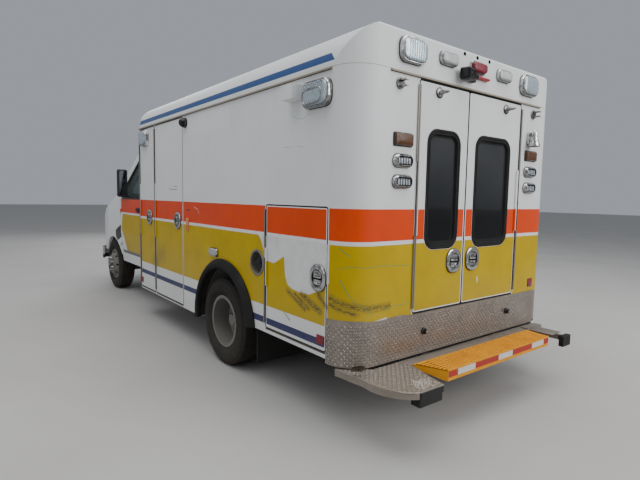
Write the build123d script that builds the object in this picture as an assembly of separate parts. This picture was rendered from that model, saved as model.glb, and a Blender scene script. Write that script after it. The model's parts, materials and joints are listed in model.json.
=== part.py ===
"""Van-based ambulance with a box body on a cutaway cab, all sizes in millimetres.

Stations are measured along X from the rear face of the box body, forwards positive.
Y is to the vehicle's left and Z is up from the ground. The last step moves every
piece so that the origin lies on the ground under the middle of the whole vehicle.
"""
import os

from build123d import *

os.makedirs("parts", exist_ok=True)

# Box body
box_length = 3810
box_half = 1143
wall = 50
rear_corner_r = 200
front_corner_r = 14
front_skirt_z = 316
rear_skirt_z = 437
floor_top_z = 690
floor_thick = 40
sill_z = 560               # top of the chassis rails, where the floor beams sit
roof_top_z = 2466
roof_edge_r = 240
roof_joint_z = roof_top_z - roof_edge_r - 11         # walls meet the roof here
rail_z = (roof_joint_z - 15, roof_joint_z + 3)       # drip rail over the joint
rail_out = 14
door_top_z = rail_z[0] - 10
skin_gap = 0.3             # paint-thick gap between seated pieces
everything = (-1200, 1200)

# Wheels and axles
rear_axle_x = 1611
tyre_r = 372
axle_z = tyre_r
tyre_width = 223
bead_r = 204
rim_width = 178
rim_flange_r = 222
rim_wall = 8
wheel_inset = 135          # wheel centre to the face that bolts on the hub
front_tyre_y = 881
outer_tyre_y = 1055
dual_spacing = 270
rear_hub_y = outer_tyre_y - wheel_inset
front_hub_y = front_tyre_y + wheel_inset
kingpin_y = 800
arch_r = 470               # wheel opening in the wall
flare_r = 537              # outer edge of the rubber flare
flare_out = 52             # how far the flare stands out from the wall

# Doors: edges along X or Y, then along Z; latch places are given from the rear edge
door_gap = 6
door_thick = 42
hinge_out = 10             # hinge pins stand this far outside the skin
hinge_r = 5
front_locker = dict(x=(box_length - 515, box_length - 27), z=(345, door_top_z), latch=(172, 1183))
tall_door = dict(x=(front_locker["x"][0] - 798, front_locker["x"][0] - 24), z=(345, door_top_z), latch=(126, 1184))
rear_locker = dict(x=(224, 930), z=(480, 1380), latch=(81, 937))
rear_split_y = 69
rear_left_y = 593
rear_right_y = -610
rear_door_z = (700, door_top_z)
rear_door_gap = 5
locker_depth = box_half - wall - 613
liner = 20
latch_size = (150, 165)
latch_out = 12

# Tail
kick_top_z = 688
kick_bottom_z = 411
kick_thick = 5
step_pivot = (-115, 395)   # x and z of the step's hinge line
step_knuckle_r = 12
step_inner = (-636, 705)
step_outer = (-597, 629)
step_tail_x = -330
step_top_z = 420
step_deep = 70
step_rib = 7               # height of the grip ribs
wing_z = (360, 402)
wing_sheet = 6
wing_tail_x = -424

# Cab: its rear edge follows the box, and its other stations follow that edge
cab_rear_x = box_length + 341
cab_half = 1020
cab_wall = 50
cab_floor_z = 600
cab_roof_z = 2070
cab_arch_r = 425
rocker_z = 470             # hem of the cab below its doors
cowl = (cab_rear_x + 1249, 1400)     # x and z of the foot of the windscreen
header = (cab_rear_x + 499, 2040)    # x and z of its top
firewall_x = cowl[0] - 168
nose_x = cab_rear_x + 2159
bumper_x = nose_x + 61
cab_door_x = (cab_rear_x + 74, cab_rear_x + 999)
hood_x = (cowl[0] + 25, nose_x - 110)
hood_half = 770

# Running gear
front_axle_x = cab_rear_x + 1473
gearbox_x = (cab_rear_x + 199, cab_rear_x + 849)
gearbox_z = (385, 590)
engine_front_x = gearbox_x[1] + 900
engine_top_z = 1030
nose_reach = 140           # rear axle's centre to the face of its drive flange
rail_y = (390, 450)        # chassis rails, inner and outer face
rail_bottom_z = (450, 400) # under the box and under the cab

tail_x = wing_tail_x
middle_x = (bumper_x + tail_x) / 2


def span(x, y, z):
    """A box from its lowest and highest value along each axis."""
    centre = ((x[0] + x[1]) / 2, (y[0] + y[1]) / 2, (z[0] + z[1]) / 2)
    return Pos(*centre) * Box(x[1] - x[0], y[1] - y[0], z[1] - z[0])


def rect(a, b, corner=0):
    """A rectangle from its lowest and highest value along both directions."""
    size = (a[1] - a[0], b[1] - b[0])
    face = RectangleRounded(*size, corner) if corner else Rectangle(*size)
    return Pos((a[0] + a[1]) / 2, (b[0] + b[1]) / 2) * face


def polygon(points):
    return make_face(Polyline(*points, close=True))


def along_y(sketch, y):
    """Extrude a side view (x, z) between two values of y."""
    return Pos(0, y[1], 0) * extrude(Plane.XZ * sketch, amount=y[1] - y[0])


def along_x(sketch, x):
    """Extrude a view from behind (y, z) between two values of x."""
    return Pos(x[0], 0, 0) * extrude(Plane.YZ * sketch, amount=x[1] - x[0])


def along_z(sketch, z):
    return Pos(0, 0, z[0]) * extrude(sketch, amount=z[1] - z[0])


def rod(start, end, r):
    """A round bar between two points."""
    line = Line(start, end)
    return sweep(Plane(origin=start, z_dir=line % 0) * Circle(r), path=line)


def post(r, height):
    """A round bar that stands on z = 0."""
    return Cylinder(r, height, align=(Align.CENTER, Align.CENTER, Align.MIN))


def on_left(x, z, out=0):
    """Placement that turns a piece's +Z outwards on the left wall."""
    return Pos(x, box_half + out, z) * Rot(-90, 0, 0)


def on_rear(y, z, out=0):
    """Placement that turns a piece's +Z rearwards on the rear face."""
    return Pos(-out, y, z) * Rot(0, -90, 0) * Rot(0, 0, 90)


def other_side(shape):
    return mirror(shape, about=Plane.XZ)


def grow(limits, by):
    return (limits[0] - by, limits[1] + by)


def save(node, *pieces):
    """Write one node, with its pieces moved from stations to the vehicle's own frame."""
    solids = [solid for piece in pieces for solid in piece.solids()]
    shape = solids[0] if len(solids) == 1 else Compound(solids)
    export_step(Pos(-middle_x, 0, 0) * shape, f"parts/{node}.step")


# Patient box

def box_plan(inset):
    """Plan of the box, drawn in from its skin."""
    plan = rect((inset, box_length - inset), (inset - box_half, box_half - inset))
    corners = plan.vertices().sort_by(Axis.X)
    plan = fillet(corners[:2], rear_corner_r - inset)
    if inset < front_corner_r - 1:
        plan = fillet(plan.vertices().sort_by(Axis.X)[-2:], front_corner_r - inset)
    return plan


def wheel_arch(r):
    return Pos(rear_axle_x, axle_z) * Circle(r)


def skirt_outline():
    """Side wall seen from the left: full height, with its hem lower ahead of the wheel."""
    low_front = rect((rear_axle_x, box_length), (front_skirt_z, roof_joint_z))
    low_rear = rect((rear_corner_r, rear_axle_x), (rear_skirt_z, roof_joint_z))
    return low_front + low_rear - wheel_arch(arch_r) - rect(
        (rear_axle_x - arch_r, rear_axle_x + arch_r), (0, axle_z))


def door_sheet(door, extra, corner):
    return rect(grow(door["x"], extra), grow(door["z"], extra), corner)


def wall_ring(low):
    return along_z(box_plan(0) - box_plan(wall), (low, roof_joint_z))


def hinge_knuckle(x, y, z, leaf_to):
    """One upright knuckle outside the skin, with the leaf that carries it."""
    barrel = Pos(x, y, z[0]) * post(hinge_r, z[1] - z[0])
    leaf_x = tuple(sorted((x, leaf_to[0])))
    leaf_y = tuple(sorted((y, leaf_to[1])))
    return barrel + span(leaf_x, leaf_y, z)


def hinge_thirds(z):
    """Body knuckles take the outer thirds of a hinge, the door's knuckle the middle one."""
    low, high = grow(z, -30)
    third = (high - low) / 3
    return (low, low + third), (low + third + skin_gap, high - third - skin_gap), (high - third, high)


side_doors_left = [front_locker, tall_door, rear_locker]
side_doors_right = [tall_door, rear_locker]


def side_wall(doors):
    """Left wall with its door openings, hinge pins and filler hole."""
    ring = wall_ring(front_skirt_z)
    sheet = along_y(skirt_outline(), (box_half - wall, box_half + 10))
    side = ring & sheet
    for door in doors:
        side -= along_y(door_sheet(door, door_gap, 20), (box_half - 100, box_half + 20))
        low, _, high = hinge_thirds(door["z"])
        pin_x = door["x"][1] + door_gap + 2
        for z in (low, high):
            side += hinge_knuckle(pin_x, box_half + hinge_out, z, (pin_x + 8, box_half))
    return side


def fit_latch(panel, place):
    """Put a paddle latch on a door: a rounded bezel round a dished cup that its paddle crosses."""
    wide, tall = latch_size
    bezel = extrude(RectangleRounded(wide, tall, 0.42 * wide), amount=latch_out)
    bezel = fillet(bezel.faces().sort_by(Axis.Z)[-1].edges(), latch_out / 2)
    cup_r = wide / 3
    cup_deep = door_thick / 2 + latch_out
    cup = Pos(0, 0, latch_out + 1 - cup_deep) * post(cup_r, cup_deep)
    paddle = Pos(0, -cup_r / 2, latch_out - 4 - cup_deep) * Box(
        1.2 * cup_r, cup_r, 2 * cup_deep, align=(Align.CENTER, Align.CENTER, Align.CENTER))
    paddle = paddle & (Pos(0, 0, latch_out - 4 - 2 * cup_deep) * post(cup_r + 5, 2 * cup_deep))
    return panel + place * bezel - place * (cup - paddle)


def door_panel(door):
    """Left-hand locker door with a rounded edge and its paddle latch."""
    sheet = along_y(door_sheet(door, 0, 14), (box_half - door_thick, box_half))
    pin_x = door["x"][1] + door_gap + 2
    knuckle = hinge_knuckle(pin_x, box_half + hinge_out, hinge_thirds(door["z"])[1], (pin_x - 32, box_half))
    return fit_latch(sheet + knuckle, on_left(door["x"][0] + door["latch"][0], door["latch"][1]))


def liner_box(door):
    """Open-fronted metal box behind a locker door."""
    front_limit = box_length - wall - liner - skin_gap
    x = (door["x"][0] - 4, min(door["x"][1] + 4, front_limit))
    z = grow(door["z"], 4)
    mouth = box_half - wall
    outer = span(grow(x, liner), (mouth - locker_depth, mouth), grow(z, liner))
    inner = span(x, (mouth - locker_depth + liner, mouth + 1), z)
    return outer - inner


def lamp_form(wide, tall, deep):
    """Lamp facing +Z: a rounded bezel with its lens standing out of it."""
    corner = 0.28 * min(wide, tall)
    rim = 0.12 * tall
    bezel = extrude(RectangleRounded(wide, tall, corner), amount=0.7 * deep)
    bezel = chamfer(bezel.faces().sort_by(Axis.Z)[-1].edges(), 0.12 * deep)
    lens = extrude(RectangleRounded(wide - 2 * rim, tall - 2 * rim, corner - rim / 2), amount=deep)
    return bezel + fillet(lens.faces().sort_by(Axis.Z)[-1].edges(), 0.12 * deep)


filler = (1060, 945)
filler_r = 92
filler_wall = 12
filler_deep = 70
camera_box = span((510, 635), (box_half - 1, box_half + 82), (rail_z[0] - 134, rail_z[0] - 40))
side_dome = on_left(tall_door["x"][0] - 85, rail_z[0] - 71) * (post(45, 22) + Pos(0, 0, 22) * (
    Sphere(42) & Pos(0, 0, 21) * Box(90, 90, 42)))
hasp = span((tall_door["x"][0] - 151, tall_door["x"][0] - 104), (box_half - 1, box_half + 12), (1116, 1190))

left_wall = side_wall(side_doors_left) + camera_box + side_dome + hasp
right_wall = other_side(side_wall(side_doors_right))
save("module_right_wall", right_wall)

cup_in = on_left(*filler, -filler_deep)
left_wall -= on_left(*filler, -wall - 2) * post(filler_r, wall + 4)
left_wall += cup_in * (post(filler_r + 4, filler_deep - 8) - Pos(0, 0, 8) * post(filler_r - 8, filler_deep))
left_wall += on_left(*filler, -2) * (post(filler_r + 8, 6) - Pos(0, 0, -1) * post(filler_r - 2, 8))
left_wall += on_left(*filler, 2 - filler_deep) * (Pos(0, 0, 5) * post(40, 30))
save("module_left_wall", left_wall)


def stay_pin():
    """Tapered pin on a round foot, facing +Z, that holds an open rear door."""
    return post(27, 10) + Pos(0, 0, 9) * Cone(
        14, 7, stay_pin_out - 9, align=(Align.CENTER, Align.CENTER, Align.MIN))


def stay_catch():
    """Round foot with two prongs, facing +Z, that takes the pin of an open rear door."""
    catch = post(33, 10)
    for across in (-18, 18):
        catch += Pos(0, across, 9) * Box(
            26, 9, stay_catch_out - 9, align=(Align.CENTER, Align.CENTER, Align.MIN))
    return catch


stay_pin_out = 80
stay_catch_out = 60
rear_opening = rect((rear_right_y - rear_door_gap, rear_left_y + rear_door_gap),
                    grow(rear_door_z, door_gap), 20)
rear_frame = wall_ring(kick_bottom_z) & span(
    (-1, rear_corner_r - skin_gap), (-1200, 1200), (0, 3000))
rear_frame -= along_x(rear_opening, (-20, 100))
for edge, way in ((rear_left_y, 1), (rear_right_y, -1)):
    pin_y = edge + way * rear_door_gap
    for z in hinge_thirds(rear_door_z)[::2]:
        rear_frame += hinge_knuckle(-hinge_out, pin_y, z, (0, pin_y + way * 14))
    rear_frame += on_rear(edge + way * 185, door_top_z - 50) * stay_catch()
save("module_rear_frame", rear_frame)

front_wall = wall_ring(front_skirt_z) & span(
    (box_length - wall, box_length + 1), (wall - box_half, box_half - wall), (0, 3000))
front_wall -= along_x(rect((-330, 330), (floor_top_z + 40, 1900), 60),
                      (box_length - 100, box_length + 20))
front_wall -= span((box_length - 100, box_length + 20), (-560, 560), (0, floor_top_z - floor_thick))
save("module_front_wall", front_wall)


def roof_form(inset, end_r):
    """Roof drawn in from its skin: a flat top with round side edges, cut to the plan of the box."""
    half = box_half - inset
    top = roof_top_z - inset
    low = roof_joint_z if inset == 0 else roof_joint_z - 1
    section = rect((-half, half), (top - 3 * roof_edge_r, top), roof_edge_r - inset)
    side = rect((inset, box_length - inset), (low - 200, top), end_r)
    form = along_x(section, (0, box_length)) & along_y(side, everything)
    return form & along_z(box_plan(inset), (low, roof_top_z + 50))


roof = roof_form(0, 24) - roof_form(wall, 0)
marker_z = roof_top_z - 30
for y in (-148, 0, 148):
    roof -= on_rear(y, marker_z, -14) * post(11, 40)
rail_side = polygon([(0, rail_z[0]), (rail_out, rail_z[0] + 3), (rail_out, rail_z[1] - 5), (0, rail_z[1]),
                     (-2, rail_z[1]), (-2, roof_joint_z), (0, roof_joint_z)])
left_rail = Pos(0, box_half, 0) * along_x(rail_side, (rear_corner_r + 5, box_length - front_corner_r))
rear_rail = Rot(0, 0, 90) * along_x(rail_side, (-890, 862))
save("module_roof", roof + left_rail + other_side(left_rail) + rear_rail)

floor = along_z(box_plan(wall + skin_gap), (floor_top_z - floor_thick, floor_top_z))
beam_stations = [120, 650, 1080, 2200, 2700, box_length - 560, box_length - 110]
beams = Compound(children=[
    span(grow((x, x), 25), (-560, 560), (sill_z, floor_top_z - floor_thick)) for x in beam_stations])
for door in side_doors_left:
    x = grow(door["x"], 4 + liner + skin_gap)
    bay = span(x, (box_half - wall - locker_depth - 1, box_half), (0, 1000))
    floor -= bay + other_side(bay)
well_y = box_half - 543
wells = span(grow((rear_axle_x,) * 2, arch_r + liner + 1), (well_y, box_half), (0, 1000))
floor -= wells + other_side(wells)
save("module_floor", floor + beams)

well_view = rect((0, box_length), (rear_skirt_z, 1200))
well_ring = wheel_arch(arch_r + liner - skin_gap) - wheel_arch(arch_r)
well_back = wheel_arch(arch_r + 1) & rect((0, box_length), (floor_top_z, 1200))
wheel_well = along_y(well_ring & well_view, (well_y, box_half - wall)) + along_y(well_back, (well_y, well_y + 10))
save("wheel_wells", wheel_well, other_side(wheel_well))


def flare_section():
    """Rubber flare cut along the axle: (r, y), thick at the wheel opening and rounded outside."""
    foot = box_half + skin_gap
    crest = (arch_r + 22, box_half + flare_out)
    edge = Polyline((flare_r - 6, foot), (arch_r - 12, foot), (arch_r - 12, box_half + flare_out - 14))
    edge += ThreePointArc(edge @ 1, (arch_r - 2, box_half + flare_out - 3), crest)
    edge += ThreePointArc(crest, (flare_r - 16, box_half + 0.62 * flare_out), (flare_r, box_half + 12))
    edge += Line((flare_r, box_half + 12), (flare_r - 6, foot))
    return make_face(edge)


flare = Pos(rear_axle_x, 0, axle_z) * revolve(flare_section(), axis=Axis.Y)
beside = (box_half, box_half + flare_out + 10)
flare &= (span((rear_axle_x - flare_r, rear_axle_x), beside, (rear_skirt_z, axle_z + flare_r))
          + span((rear_axle_x, rear_axle_x + flare_r), beside, (front_skirt_z, axle_z + flare_r)))
flap_x = rear_axle_x - arch_r - liner - 36
flap = span((flap_x, flap_x + 12), (690, box_half - 23), (150, rear_skirt_z - skin_gap))
save("arch_rubbers", flare, other_side(flare), flap, other_side(flap))
save("locker_liners", *[liner_box(door) for door in side_doors_left], other_side(liner_box(rear_locker)))

# Doors of the box
door_lamp = on_left(front_locker["x"][0] + 300, rail_z[0] - 115, -1) * lamp_form(229, 178, 46)
save("front_locker_door", door_panel(front_locker) + door_lamp)
save("tall_locker_door", door_panel(tall_door))
save("rear_locker_door", door_panel(rear_locker))
side_window = rect(grow(tall_door["x"], -162), (1330, 1860), 60)
entry_door = door_panel(tall_door) - along_y(side_window, (box_half - 100, box_half + 20))
save("entry_door", other_side(entry_door))
entry_glass = along_y(offset(side_window, -skin_gap), (box_half - 26, box_half - 20))
save("entry_door_glass", other_side(entry_glass))
save("right_rear_locker_door", other_side(door_panel(rear_locker)))

rear_windows = dict(left=((155, 500), (1114, 1900)), right=((-480, -30), (1105, 1905)))
rear_latch = dict(left=(180, 1017), right=(-41, 1017))
stay_pin_at = dict(left=(403, door_top_z - 52), right=(-396, door_top_z - 58))
for side, edges, pin_y, way in (
        ("left", (rear_split_y + rear_door_gap, rear_left_y), rear_left_y + rear_door_gap, -1),
        ("right", (rear_right_y, rear_split_y - rear_door_gap), rear_right_y - rear_door_gap, 1)):
    window = rect(*rear_windows[side], 90)
    panel = along_x(rect(edges, rear_door_z, 14), (0, door_thick))
    panel -= along_x(window, (-20, 100))
    knuckle = hinge_knuckle(-hinge_out, pin_y, hinge_thirds(rear_door_z)[1], (0, pin_y + way * 32))
    panel = fit_latch(panel + knuckle, on_rear(*rear_latch[side]))
    panel += on_rear(*stay_pin_at[side]) * stay_pin()
    save(f"rear_door_{side}", panel)
    save(f"rear_glass_{side}", along_x(offset(window, -skin_gap), (14, 20)))

# Tail
kick_ring = along_z(box_plan(-kick_thick) - box_plan(-skin_gap), (kick_bottom_z, kick_top_z + 20))
kick_edge = Spline((1200, kick_top_z + 2), (1040, kick_top_z + 13), (900, kick_top_z + 4),
                   (760, kick_top_z + 11), (620, kick_top_z))
kick_view = make_face(kick_edge + Polyline(
    (620, kick_top_z), (0, kick_top_z), (0, kick_bottom_z), (1200, kick_bottom_z), (1200, kick_top_z + 2)))
kick_plate = kick_ring & along_x(kick_view, (-20, 215))
kick_plate += kick_ring & span((-20, 40), (-950, 10), (kick_bottom_z, kick_top_z))
for y in (480, -534):
    kick_plate += on_rear(y, 562, kick_thick - 1) * (post(22, 14) + post(14, 34))

tube_x = (step_pivot[0] + step_knuckle_r + skin_gap, -40)
tube_z = (335, 393)
cross_tube = span(tube_x, (-940, 960), tube_z)


def wing_edge(inset):
    """Outer edge of the wing in plan, from the body corner round to its tail."""
    start, bend, belly = (120, 1148 - inset), (-120, 1128 - inset), (-330, 1092 - inset)
    return Line(start, bend) + ThreePointArc(bend, belly, (wing_tail_x + inset, 985))


wing_inner = Polyline((wing_tail_x, 985), (wing_tail_x, 796), (-299, 764), (-131, 712),
                      (-20, 730), (-20, 960), (120, 1120), (120, 1148))
rim_ends = Line((wing_tail_x, 985), (wing_tail_x + wing_sheet, 985)) + Line((120, 1148 - wing_sheet), (120, 1148))
wing = along_z(make_face(wing_edge(0) + wing_inner), (wing_z[1] - wing_sheet, wing_z[1]))
wing += along_z(make_face(wing_edge(0) + wing_edge(wing_sheet) + rim_ends), wing_z)
wing += span((wing_tail_x, wing_tail_x + wing_sheet), (796, 990), wing_z)
wing += span((tube_x[0], tube_x[1]), (735, 960), (tube_z[1] - 1, wing_z[1] - 1))
buffer = span((wing_tail_x + 6, wing_tail_x + 70), (800, 990), (310, wing_z[1] - 2))
stub = span(tube_x, (-940, -720), (tube_z[1] - 1, 408))
stub += span((-330, tube_x[0] + 1), (-860, -820), (350, 385)) + span((-360, -325), (-900, -780), (310, 392))
bracket = span((tube_x[1] - 10, 160), rail_y, tube_z) + span((80, 160), rail_y, (tube_z[1] - 3, 450 - skin_gap))
save("rear_bumper", cross_tube + wing + buffer + stub + bracket + other_side(bracket), kick_plate)

step_root_x = step_pivot[0] - 18
step_plan = polygon([(step_root_x, step_inner[0]), (step_tail_x, step_outer[0]),
                     (step_tail_x, step_outer[1]), (step_root_x, step_inner[1])])
tread = along_z(step_plan, (step_top_z - 30, step_top_z - step_rib))
rib_pitch = (step_root_x - step_tail_x) / 8
for rib in range(8):
    rib_x = step_tail_x + rib_pitch * rib
    rib_view = step_plan & rect((rib_x, rib_x + rib_pitch / 2), everything)
    tread += along_z(rib_view, (step_top_z - step_rib - 1, step_top_z))
skirt_view = polygon([(step_tail_x, step_top_z - step_deep), (step_tail_x + 25, step_top_z - step_deep),
                      (step_root_x, step_top_z - 32), (step_root_x, step_top_z - 10), (step_tail_x, step_top_z - 10)])
skirt = along_y(skirt_view, everything) & along_z(step_plan - offset(step_plan, -6), (0, step_top_z - 10))
skirt -= span((step_root_x - 8, step_root_x + 1), everything, (0, step_top_z - 30))
knuckle = Pos(step_pivot[0], (step_inner[0] + step_inner[1]) / 2, step_pivot[1]) * Rot(90, 0, 0) * Cylinder(
    step_knuckle_r, step_inner[1] - step_inner[0] - 20)
hinge_web = span((step_pivot[0] - 30, step_pivot[0] - 5), (step_inner[0] + 12, step_inner[1] - 12),
                 (step_pivot[1] - 6, step_pivot[1] + 6))
save("rear_step", tread + skirt + knuckle + hinge_web)

# Lamps: centre, width, height and depth on the rear face, then on the left side
rear_lamps = [(0, roof_top_z - 102, 178, 84, 40)]
for y in (-1, 1):
    rear_lamps += [(683 * y, roof_top_z - 120, 229, 154, 45), (331 * y, roof_top_z - 103, 170, 86, 35)]
for y in (740, -780):
    rear_lamps += [(y, 1807, 170, 85, 25), (y, 1678, 170, 85, 30), (y, 1550, 170, 85, 30)]
side_lamps = [(335, rail_z[0] - 125, 270, 165, 50), (1789, 945, 110, 60, 22),
              (front_locker["x"][0] + 300, rail_z[0] - 115, 229, 178, 45)]
lamps = [on_rear(y, z, skin_gap) * lamp_form(wide, tall, deep) for y, z, wide, tall, deep in rear_lamps]
for x, z, wide, tall, deep in side_lamps:
    lamp = on_left(x, z, skin_gap) * lamp_form(wide, tall, deep)
    lamps += [other_side(lamp)] if x > front_locker["x"][0] else [lamp, other_side(lamp)]
tail_camera = span((-105, -skin_gap), (38, 132), (roof_top_z - 226, roof_top_z - 148))
tail_camera = chamfer(tail_camera.faces().sort_by(Axis.X)[0].edges(), 14)
lamps.append(tail_camera + span((-30, -skin_gap), (-140, 40), (roof_top_z - 176, roof_top_z - 158)))
lamps.append(on_rear(-747, 1943, skin_gap) * (post(30, 16) + post(20, 52)))
lamps.append(on_rear(-891, 758, skin_gap) * extrude(Rectangle(70, 70), amount=6))

# Wheels

def lathe(outline, y):
    """Turn an (r, y) outline about the axle."""
    return Pos(0, y, 0) * revolve(outline, axis=Axis.Y)


def tyre_solid(x, y):
    half = tyre_width / 2
    seat = rim_width / 2 - rim_wall - 0.5
    bead = bead_r + skin_gap
    side = [(tyre_r, half - 34), (tyre_r - 22, half - 12), (tyre_r - 64, half), (tyre_r - 108, half - 4),
            (rim_flange_r + 4, seat), (bead, seat)]
    return Pos(x, 0, axle_z) * lathe(polygon(side + [(r, -out) for r, out in side[::-1]]), y)


def rim_solid():
    """Dished steel wheel about the origin, its bolted face at y = 0 and its barrel towards +Y."""
    centre = wheel_inset
    near = centre - rim_width / 2
    far = centre + rim_width / 2
    barrel = rect((bead_r - rim_wall, bead_r), (near, far))
    lips = rect((bead_r - 1, rim_flange_r), (near, near + rim_wall)) + rect(
        (bead_r - 1, rim_flange_r), (far - rim_wall, far))
    disc_r = bead_r - rim_wall + 1
    disc = polygon([(hub_r - 2, 0), (140, 0), (disc_r, 58), (disc_r, 74), (134, 12), (hub_r - 2, 12)])
    wheel = revolve(barrel + lips + disc, axis=Axis.Y)
    hole = Rot(90, 0, 0) * Cylinder(17, 200)
    for turn in range(8):
        wheel -= Rot(0, 45 * turn, 0) * Pos((140 + disc_r) / 2, 60, 0) * hole
    return wheel


def stub_hub(y, r):
    return Pos(0, (y[0] + y[1]) / 2, 0) * Rot(90, 0, 0) * Cylinder(r, y[1] - y[0])


hub_r = 62
dished = rim_solid()
outer_rim = Pos(0, rear_hub_y, 0) * dished
inner_rim = Pos(0, rear_hub_y, 0) * mirror(dished, about=Plane.XZ)
rear_hub = stub_hub((rear_hub_y - 14, rear_hub_y + 110), hub_r) + stub_hub((rear_hub_y + 109, rear_hub_y + 150), 48)
rear_pair = Pos(rear_axle_x, 0, axle_z) * (outer_rim + inner_rim + rear_hub)
front_rim = Pos(0, front_hub_y, 0) * mirror(dished, about=Plane.XZ)
front_hub = stub_hub((front_hub_y - 40, front_hub_y + 14), hub_r) + stub_hub((front_hub_y + 13, front_hub_y + 40), 40)
front_pair = Pos(front_axle_x, 0, axle_z) * (front_rim + front_hub)
rear_tyres = [tyre_solid(rear_axle_x, y) for y in (outer_tyre_y, outer_tyre_y - dual_spacing)]
front_tyre = tyre_solid(front_axle_x, front_tyre_y)
for side, turn in (("left", lambda shape: shape), ("right", other_side)):
    save(f"rear_wheels_{side}", turn(rear_pair))
    save(f"rear_tyres_{side}", *[turn(tyre) for tyre in rear_tyres])
    save(f"front_wheel_{side}", turn(front_pair))
    save(f"front_tyre_{side}", turn(front_tyre))

# Axles and steering
half_axle = rear_hub_y - 14 - skin_gap
rear_axle = rod((rear_axle_x, -half_axle, axle_z), (rear_axle_x, half_axle, axle_z), 42)
rear_axle += Pos(rear_axle_x, 0, axle_z) * Sphere(120)
rear_axle += rod((rear_axle_x, 0, axle_z), (rear_axle_x + nose_reach + 10, 0, axle_z), 55)
for y in (-520, 520):
    rear_axle += span(grow((rear_axle_x,) * 2, 60), grow((y, y), 42), (axle_z, axle_z + 55))

pad_z = axle_z + 55 + skin_gap
leaf_y = (rail_y[1] + 35, rail_y[1] + 105)
leaf_reach = 650
leaf_ends = (rear_axle_x - leaf_reach, rear_axle_x + leaf_reach)
leaf = along_y(polygon([(leaf_ends[0], 480), (rear_axle_x, pad_z), (leaf_ends[1], 480),
                        (leaf_ends[1], 495), (rear_axle_x, pad_z + 32), (leaf_ends[0], 495)]), leaf_y)
for x in leaf_ends:
    leaf += span(grow((x, x), 25), (rail_y[1] + skin_gap, leaf_y[1]), (468, 540))

yoke = span(grow((front_axle_x,) * 2, 40), (700, 738), grow((axle_z,) * 2, 130))
for z in ((axle_z + 90, axle_z + 130), (axle_z - 130, axle_z - 90)):
    yoke += span(grow((front_axle_x,) * 2, 40), (700, 842), z)
beam = yoke + span(grow((front_axle_x,) * 2, 35), (-10, 710), (260, 330))
save("front_axle", beam + other_side(beam))
coil = Pos(front_axle_x, 420, 330 + skin_gap) * Cylinder(
    50, 70 - 2 * skin_gap, align=(Align.CENTER, Align.CENTER, Align.MIN))
save("suspension_springs", leaf, other_side(leaf), coil, other_side(coil))

knuckle = Pos(front_axle_x, kingpin_y, axle_z) * Cylinder(32, 180 - 2 * skin_gap)
knuckle += rod((front_axle_x, kingpin_y, axle_z), (front_axle_x, front_hub_y - 40 - skin_gap, axle_z), 38)
knuckle += span((front_axle_x - 170, front_axle_x), (kingpin_y - 22, kingpin_y + 22), (axle_z - 70, axle_z - 40))
save("knuckle_left", knuckle)
save("knuckle_right", other_side(knuckle))

# Chassis
rail_ahead_x = nose_x - 160
rail_view = polygon([(55, rail_bottom_z[0]), (2350, rail_bottom_z[0]), (2700, rail_bottom_z[1]),
                     (rail_ahead_x, rail_bottom_z[1]), (rail_ahead_x, sill_z - 20), (firewall_x - 32, sill_z),
                     (55, sill_z)])
rail = along_y(rail_view, rail_y)
frame = rail + other_side(rail)
cross_half = (rail_y[0] + rail_y[1]) / 2
for x in (90, 1060, 2140, 3050, cab_rear_x - 151, rail_ahead_x - 50):
    frame += span(grow((x, x), 30), (-cross_half, cross_half), (475, 535))
gearbox_middle = gearbox_x[0] + 250
under_gearbox = (gearbox_z[0] - 35, gearbox_z[0] - skin_gap)
frame += span(grow((gearbox_middle,) * 2, 40), (-rail_y[1], rail_y[1]), under_gearbox)
hanger = span(grow((gearbox_middle,) * 2, 40), rail_y, (gearbox_z[0] - 35, rail_bottom_z[1] + 20))
save("chassis_frame", frame + hanger + other_side(hanger))

engine = span((gearbox_x[1], engine_front_x), (-210, 210), (475, engine_top_z))
engine += span((gearbox_x[0], gearbox_x[1] + 10), (-150, 150), gearbox_z)
mount = span((engine_front_x - 400, engine_front_x - 300), (200, rail_y[0] - skin_gap), (485, 535))
save("engine_block", engine + mount + other_side(mount))
shaft_z = 435
rear_axle += rod((rear_axle_x + nose_reach, 0, axle_z), (gearbox_x[0] - 20, 0, shaft_z), 36)
rear_axle += rod((gearbox_x[0] - 30, 0, shaft_z), (gearbox_x[0] - skin_gap, 0, shaft_z), 45)
save("rear_axle", rear_axle)
tank_x = (170, 1000)
tank = fillet(span(tank_x, (50 - rail_y[0], rail_y[0] - 50), (250, 455)).edges(), 30)
for x in grow(tank_x, -150):
    tank += span(grow((x, x), 25), (skin_gap - rail_y[0], rail_y[0] - skin_gap), (448, 466))
save("fuel_tank", tank)
pipe_y = -rail_y[1] - 70
pipe_x = (2260, gearbox_middle + 100)
silencer_x = (3000, 3600)
pipe = rod((pipe_x[0], pipe_y, 330), (pipe_x[1], pipe_y, 330), 30)
pipe += rod((silencer_x[0], pipe_y, 330), (silencer_x[1], pipe_y, 330), 78)
for x in grow(silencer_x, -50):
    pipe += span(grow((x, x), 12), (pipe_y - 10, -rail_y[1] - skin_gap), (390, 470))
save("exhaust", pipe)

# Cab shell

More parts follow.
